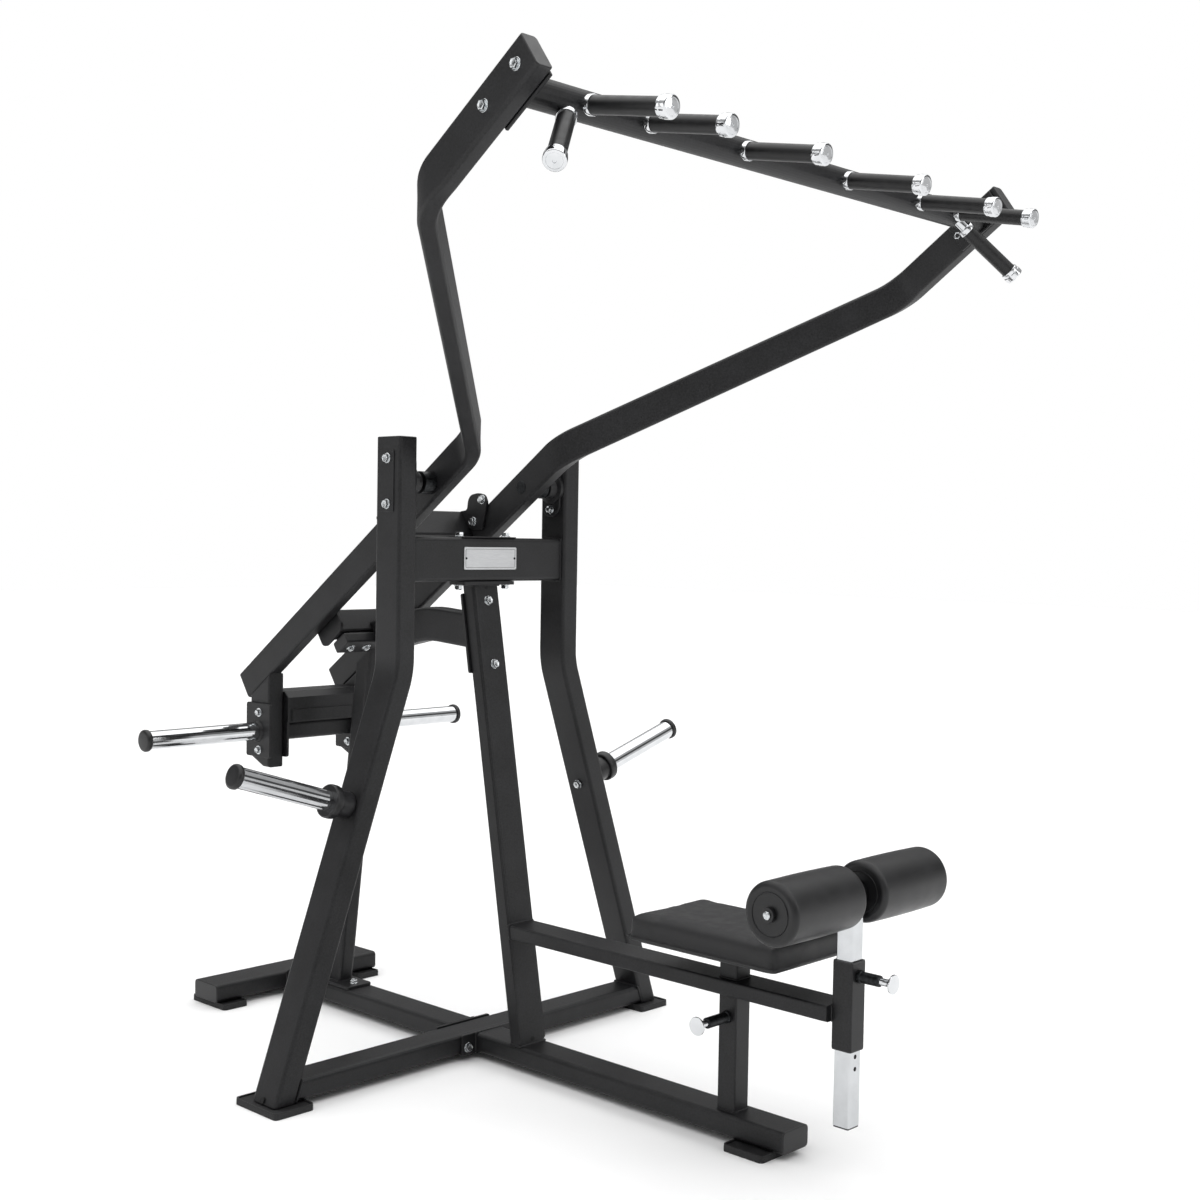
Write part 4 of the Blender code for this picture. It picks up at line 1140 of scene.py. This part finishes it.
@dataclass
class Seat:
    """Seat cushion, its post's guide collar, the seat plate's screws, weld beads and the pull
    pin.
    """

    post_y: float = -0.856
    guide_top: float = 0.404
    pin_z: float = 0.277
    swell: float = 0.006
    swell_steps: int = 18

    def build(self) -> None:
        """Make every piece of the seat."""
        self.cushion()
        self.guides()
        pull_pin("seat", spot(-0.025, self.post_y, self.pin_z), -X, 0.106, Body.SEAT_PIN)

    def cushion(self) -> None:
        """Upholster the seat: a foam block swollen under its vinyl, with a side seam."""
        lo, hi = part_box("seat_cushion")
        size = hi - lo
        shrink = 0.004            # room for the swelling on every side but the foot
        part = Workpiece.cuboid((size.x - 2 * shrink, size.y - 2 * shrink, size.z - shrink),
                                0.014, 6)
        Workpiece.round_rim(part, size.z - shrink, 0.010)
        low = [e for e in part.edges if all(abs(v.co.z) < 1e-6 for v in e.verts)
               and any(abs(f.normal.z) < 0.5 for f in e.link_faces)]
        bmesh.ops.bevel(part, geom=low, offset=0.006, segments=2, profile=0.5,
                        affect="EDGES", material=-1)
        bmesh.ops.translate(part, vec=((lo.x + hi.x) / 2, (lo.y + hi.y) / 2, lo.z),
                            verts=part.verts)
        mesh = bpy.data.meshes.new("seat_pad")
        part.to_mesh(mesh)
        part.free()
        pad = settle(self.inflate(mesh, lo, hi), "seat_pad", SEAT_VINYL, Body.SEAT,
                     ("seat_cushion",), 60)
        self.seam(lo, hi)

    def inflate(self, mesh: bpy.types.Mesh, lo: Vector, hi: Vector) -> bpy.types.Mesh:
        """Swell the cushion by cloth pressure and keep it flat underneath.

        Args:
            mesh: Plain cushion, in place.
            lo: Lowest corner of its space.
            hi: Highest corner of its space.

        Returns:
            The swollen mesh.
        """
        scene = bpy.context.scene
        pad = bpy.data.objects.new("seat_pad_form", mesh)
        scene.collection.objects.link(pad)
        voxels = pad.modifiers.new("even_cells", "REMESH")
        voxels.mode, voxels.voxel_size = "VOXEL", 0.006
        start = self.bake(pad)
        pad = bpy.data.objects.new("seat_pad_form", start.copy())
        scene.collection.objects.link(pad)
        cloth = pad.modifiers.new("swell", "CLOTH")
        cloth.settings.use_pressure, cloth.settings.uniform_pressure_force = True, 4.0
        cloth.settings.effector_weights.gravity = 0.0
        cloth.settings.quality = 6
        for step in range(1, self.swell_steps + 1):
            scene.frame_set(step)
        swollen = self.bake(pad)
        scene.frame_set(1)
        for before, after in zip(start.vertices, swollen.vertices):
            move = after.co - before.co
            near_floor = max(0.0, min(1.0, (before.co.z - lo.z - 0.004) / 0.020))
            move *= near_floor * min(1.0, self.swell / max(move.length, 1e-9))
            place = before.co + move
            place.z = min(place.z, hi.z + 0.004)
            after.co = place
        bpy.data.meshes.remove(start)
        return self.finer(swollen)

    @staticmethod
    def bake(pad: bpy.types.Object) -> bpy.types.Mesh:
        """Apply an object's modifiers, remove it and return the mesh."""
        bpy.context.view_layer.update()
        ready = pad.evaluated_get(bpy.context.evaluated_depsgraph_get())
        made = bpy.data.meshes.new_from_object(ready)
        bpy.data.objects.remove(pad)
        return made

    def finer(self, mesh: bpy.types.Mesh) -> bpy.types.Mesh:
        """Subdivide the swollen cushion once, after evening out the cells."""
        bm = bmesh.new()
        bm.from_mesh(mesh)
        for _ in range(3):
            bmesh.ops.smooth_vert(bm, verts=bm.verts, factor=0.4, use_axis_x=True,
                                  use_axis_y=True, use_axis_z=True)
        bm.to_mesh(mesh)
        bm.free()
        pad = bpy.data.objects.new("seat_pad_form", mesh)
        bpy.context.scene.collection.objects.link(pad)
        fine = pad.modifiers.new("fine", "SUBSURF")
        fine.levels = fine.render_levels = 1
        return self.bake(pad)

    def seam(self, lo: Vector, hi: Vector) -> None:
        """Sew the cover's border: a thin welted seam round the cushion's side."""
        mid = (lo + hi) / 2
        sunk = 0.0012
        piece = Workpiece()
        piece.bead(frame_loop(Vector((mid.x, mid.y, lo.z + 0.011)), X, Y,
                              (hi.x - lo.x) / 2 - sunk, (hi.y - lo.y) / 2 - sunk, 0.014,
                              0.006), 0.0013)
        piece.mount("seat_pad_welt", SEAT_VINYL, Body.SEAT, Slot.VINYL)
        base = Workpiece()
        place = facing(Vector((mid.x, mid.y, lo.z - 0.0003)), Z, Y)
        base.block((0.240, 0.396, 0.004), place, 0.020)
        base.mount("seat_pad_baseboard", CAP_PLASTIC, Body.SEAT, Slot.VINYL)

    def guides(self) -> None:
        """Line the guide tube's mouth, screw the seat plate on and weld the seat's frame."""
        piece = Workpiece()
        guide_collar(piece, facing(spot(0, self.post_y, self.guide_top), Z, Y))
        piece.mount("seat_guide_collar", CAP_PLASTIC, Body.FRAME, Slot.RUBBER)
        screws = Workpiece()
        for x in (-0.070, 0.070):
            for y in (-0.960, -0.750):
                Fixing(Head.SCREW, across=0.012, height=0.004).fit(
                    screws, spot(x, y, 0.4213), -Z)
        screws.mount("seat_plate_screws", BOLT_ZINC, Body.SEAT, Slot.CHROME)
        beads = Workpiece()
        for z in (0.363, 0.328):
            beads.bead(frame_loop(spot(0, self.post_y, z), X, Y, 0.025, 0.025), 0.0025)
        beads.bead(frame_loop(spot(-0.0255, self.post_y, self.pin_z), Y, Z, 0.0125, 0.0125,
                              0.012), 0.002)
        beads.bead(frame_loop(strut_face(RAIL_Z, -1), X, Vector((0, STRUT_SLOPE, 1)), 0.043,
                              0.018), 0.003)
        beads.mount("seat_frame_weld_beads", POWDER_COAT, Body.FRAME, Slot.PAINT)


def pull_pin(name: str, root: Vector, way: Vector, length: float, body: Body) -> None:
    """Build a spring pull pin: threaded guide, black barrel, chrome neck and disc knob.

    Args:
        name: Which post it locks.
        root: Point on the guide tube's face.
        way: Direction that it is pulled in.
        length: Distance from the face to the knob's end.
        body: Body of the pin.
    """
    place = facing(root, way)
    k = length
    barrel = Workpiece()
    barrel.turned([(0, 0.0004), (0.0140, 0.0004), (0.0140, 0.008), (0.0122, 0.0095),
                   (0.0122, k - 0.036), (0.0114, k - 0.034), (0, k - 0.034)], place, 32)
    barrel.mount(f"{name}_pin_barrel", NUT_BLACK, body, Slot.CHROME, (f"{name}_pin",))
    knob = Workpiece()
    knob.turned([(0, k - 0.0345), (0.0080, k - 0.0345), (0.0080, k - 0.020),
                 (0.0086, k - 0.014), (0.0108, k - 0.0085), (0.0155, k - 0.0055),
                 (0.0200, k - 0.0042), (0.0207, k - 0.0026), (0.0203, k - 0.0008),
                 (0.0190, k), (0.0, k)], place, 40)
    knob.mount(f"{name}_pin_knob", CHROME_X, body, Slot.CHROME)


# ------------------------------------------------------------------------ thigh hold-down
@dataclass
class ThighHold:
    """Sliding thigh post with its plugs and its holes' painted shade, the axle hub and the foam
    rollers.
    """

    y: float = -1.1605
    z: float = 0.597
    radius: float = 0.0665
    inner_x: float = 0.031
    outer_x: float = 0.278

    def build(self) -> None:
        """Make every piece of the thigh hold-down."""
        self.post()
        for side, name, body in ((-1, "left", Body.ROLLER_LEFT),
                                 (1, "right", Body.ROLLER_RIGHT)):
            self.roller(side, name, body)
        pull_pin("thigh", spot(0, self.y - 0.025, 0.428), -Y, 0.0873, Body.THIGH_PIN)

    def post(self) -> None:
        """Plug the post, paint the shade of its adjustment holes as dark discs and line the
        guide sleeve.
        """
        foot_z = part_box("thigh_post")[0].z
        plug = Workpiece()
        plug.block((0.0396, 0.0396, 0.0035), facing(spot(0, self.y, foot_z), -Z, Y), 0.004,
                   0.001)
        plug.mount("thigh_post_plug", CAP_PLASTIC, Body.THIGH, Slot.RUBBER)
        # Painted shade: near-black discs on the post stand in for its adjustment holes' dark
        # insides.
        holes = Workpiece()
        for k in (4, 5):
            holes.disc(0.0048, -0.0004, 0.0002,
                       facing(spot(0, self.y - 0.0200, 0.127 + 0.026 * k), -Y))
        holes.mount("thigh_post_hole_shades", BORE_SHADE_PAINT, Body.THIGH, Slot.CHROME)
        lo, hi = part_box("thigh_sleeve")
        liner = Workpiece()
        guide_collar(liner, facing(spot(0, self.y, hi.z), Z, Y))
        guide_collar(liner, facing(spot(0, self.y, lo.z), -Z, Y))
        liner.mount("thigh_guide_collars", CAP_PLASTIC, Body.FRAME, Slot.RUBBER)
        beads = Workpiece()
        beads.bead(frame_loop(spot(0, self.y + 0.0252, RAIL_Z), X, Z, 0.0245, 0.018, 0.004),
                   0.0025)
        beads.mount("rail_end_weld_bead", POWDER_COAT, Body.FRAME, Slot.PAINT)

    def roller(self, side: int, name: str, body: Body) -> None:
        """Wrap one foam roller: its soft roll, its end disc, seam ring and hub button."""
        axle = spot(side * self.inner_x, self.y, self.z)
        length = self.outer_x - self.inner_x
        place = facing(axle, X * side)
        r, e = self.radius, 0.013
        end = [(0.0146, 0.004), (0.030, 0.0035), (0.036, 0.0020)]
        end += [(r - e + e * math.sin(a), e - e * math.cos(a))
                for a in (math.pi / 2 * k / 8 for k in range(9))]
        crown = [(r + 0.0012 * math.sin(math.pi * k / 8), e + (length - 2 * e) * k / 8)
                 for k in range(1, 8)]
        profile = end + crown + [(q, length - h) for q, h in end[::-1]]
        roll = Workpiece()
        roll.turned(profile, place, 64)
        made = roll.mount(f"roller_{name}_roll", ROLLER_VINYL, body, Slot.FOAM,
                          (f"roller_{name}",), 60)
        disc = Workpiece()
        for at, way in ((length, side), (0.0, -side)):
            disc.turned([(0.0146, -0.004), (0.044, -0.004), (0.0448, -0.0028),
                         (0.0455, -0.0006), (0.0448, 0.0008), (0.0436, 0.0004),
                         (0.0428, -0.0012), (0.0146, -0.0018), (0.0146, -0.004)],
                        facing(axle + X * (side * at), X * way), 56)
        disc.mount(f"roller_{name}_end_discs", ROLLER_VINYL, body, Slot.FOAM)
        hub = Workpiece()
        hub.turned([(0.0, -0.0005), (0.0150, -0.0005), (0.0150, 0.0002), (0.0146, 0.0009),
                    (0.0, 0.0012)],
                   facing(spot(side * 0.2842, self.y, self.z), X * side), 36)
        hub.turned([(0.0144, -0.0070), (0.0152, -0.0070), (0.0152, 0.0), (0.0144, 0.0),
                    (0.0144, -0.0070)],
                   facing(spot(side * 0.2840, self.y, self.z), X * side), 36)
        hub.mount(f"axle_end_cover_{name}", CAP_PLASTIC, Body.THIGH, Slot.RUBBER)
        button = Workpiece()
        button.turned([(0, 0.0), (0.0075, 0.0), (0.0085, 0.0010), (0.0085, 0.0030),
                       (0.0070, 0.0042), (0, 0.0048)],
                      facing(spot(side * 0.2850, self.y, self.z), X * side), 28)
        button.mount(f"axle_end_button_{name}", BOLT_ZINC, Body.THIGH, Slot.CHROME)


# ------------------------------------------------------------------------------ CAD finishes
NODE_FINISHES: dict[str, tuple[str, ...]] = {
    "powder": ("base_cross_beam", "base_front_beam", "base_rear_beam", "rear_foot_beam",
               "upper_crossbeam", "strut", "rear_post", "stop_beam", "bearing_left",
               "bearing_right", "seat_rail", "seat_outer_post", "thigh_sleeve",
               "lever_bracket_left", "lever_bracket_right", "upper_tie", "middle_tie",
               "lower_tie", "counterweight", "pull_bar", "bar_flange_left",
               "bar_flange_right", "seat_plate"),
    "chrome_x": ("weight_sleeve_left", "weight_sleeve_right", "storage_sleeve_left",
                 "storage_sleeve_right"),
    "chrome_z": ("seat_inner_post", "thigh_post"),
    "black_steel": ("pivot_shaft_left", "pivot_shaft_right", "roller_axle", "axle_holder"),
    "rubber": ("stop_pad_left", "stop_pad_right"),
}
FINISH_OF = {"powder": POWDER_COAT, "chrome_x": CHROME_X, "chrome_z": CHROME_Z,
             "black_steel": NUT_BLACK, "rubber": GRIP_RUBBER}


def finish_nodes() -> None:
    """Give every CAD node that stays in view its real finish."""
    for kind, nodes in NODE_FINISHES.items():
        for name in nodes:
            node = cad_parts[name]
            for place in node.material_slots:
                place.link = "OBJECT"
                place.material = FINISH_OF[kind].material()
        log.info("%s: %d nodes", kind, len(nodes))


# ----------------------------------------------------------------------------------- studio
@dataclass
class Studio:
    """Plain pale floor, soft lights and the camera."""

    camera_at: tuple[float, float, float] = (-2.8296, -2.9199, 1.3339)
    azimuth: float = math.radians(-46.4798)
    pitch: float = math.radians(-2.1719)
    roll: float = math.radians(0.9447)
    film: float = 36.0
    focal: float = 48.9585

    def build(self) -> None:
        """Set up the floor, the lights and the camera."""
        self.floor()
        self.lights()
        self.camera()

    def floor(self) -> None:
        """Lay the floor."""
        bm = bmesh.new()
        bmesh.ops.create_grid(bm, x_segments=1, y_segments=1, size=30.0)
        mesh = bpy.data.meshes.new("showroom_floor")
        bm.to_mesh(mesh)
        bm.free()
        mesh.materials.append(SHOWROOM_FLOOR.material())
        floor = bpy.data.objects.new("showroom_floor", mesh)
        bpy.context.scene.collection.objects.link(floor)

    def lights(self) -> None:
        """Hang large soft boxes over and beside the machine under a white sky."""
        world = bpy.data.worlds.new("studio_walls")
        world.use_nodes = True
        tree = world.node_tree
        tree.nodes.clear()
        way = add(tree, "ShaderNodeTexCoord").outputs["Generated"]
        rise = add(tree, "ShaderNodeSeparateXYZ", {"Vector": way}).outputs["Z"]
        ramp = add(tree, "ShaderNodeValToRGB", {"Fac": rise})
        bands = ((0.0, 0.62), (0.14, 0.66), (0.22, 0.08), (0.34, 0.08), (0.44, 0.45),
                 (1.0, 0.60))
        ramp.color_ramp.elements[0].position = bands[0][0]
        ramp.color_ramp.elements[1].position = bands[-1][0]
        for position, _ in bands[1:-1]:
            ramp.color_ramp.elements.new(position)
        for element, (_, grey) in zip(ramp.color_ramp.elements, bands):
            element.color = (grey, grey, grey, 1.0)
        walls = add(tree, "ShaderNodeBackground", {"Color": ramp.outputs["Color"]})
        sheet = add(tree, "ShaderNodeBackground", {"Color": (1.0, 1.0, 1.0, 1.0)})
        seen = add(tree, "ShaderNodeLightPath").outputs["Is Camera Ray"]
        both = add(tree, "ShaderNodeMixShader", {0: seen, 1: walls.outputs["Background"],
                                                 2: sheet.outputs["Background"]})
        add(tree, "ShaderNodeOutputWorld", {"Surface": both.outputs["Shader"]})
        bpy.context.scene.world = world
        for name, at, power in (("front_box", (2.5, -6.5, 3.2), 70.0),
                                ("left_box", (-6.5, 2.0, 3.2), 40.0)):
            lamp = bpy.data.lights.new(name, "AREA")
            lamp.shape, lamp.size, lamp.energy = "SQUARE", 3.0, power
            box = bpy.data.objects.new(name, lamp)
            box.location = at
            box.rotation_euler = (Z - Vector(at)).to_track_quat("-Z", "Y").to_euler()
            bpy.context.scene.collection.objects.link(box)
        lamp = bpy.data.lights.new("ceiling_softbox", "SUN")
        lamp.energy, lamp.angle = 2.5, math.radians(100)
        ceiling = bpy.data.objects.new("ceiling_softbox", lamp)
        ceiling.location = (0, 0, 4)
        bpy.context.scene.collection.objects.link(ceiling)
        bpy.context.scene.view_settings.view_transform = "Standard"

    def camera(self) -> None:
        """Stand the camera at the left front, at chest height."""
        az, p = self.azimuth, self.pitch
        ahead = Vector((-math.sin(az) * math.cos(p), math.cos(az) * math.cos(p),
                        math.sin(p)))
        right0 = Vector((math.cos(az), math.sin(az), 0))
        up0 = right0.cross(ahead)
        right = right0 * math.cos(self.roll) + up0 * math.sin(self.roll)
        up = up0 * math.cos(self.roll) - right0 * math.sin(self.roll)
        lens = bpy.data.cameras.new("camera")
        lens.sensor_width, lens.lens = self.film, self.focal
        lens.clip_start, lens.clip_end = 0.05, 200.0
        camera = bpy.data.objects.new("camera", lens)
        camera.matrix_world = (Matrix.Translation(self.camera_at)
                               @ Matrix((right, up, -ahead)).transposed().to_4x4())
        bpy.context.scene.collection.objects.link(camera)
        bpy.context.scene.camera = camera


def main() -> None:
    """Build the machine's looks in order."""
    Studio().build()
    finish_nodes()
    Base().build()
    Uprights().build()
    Columns().build()
    PullArm().build()
    PullBar().build()
    Seat().build()
    ThighHold().build()


if __name__ == "__main__":
    main()
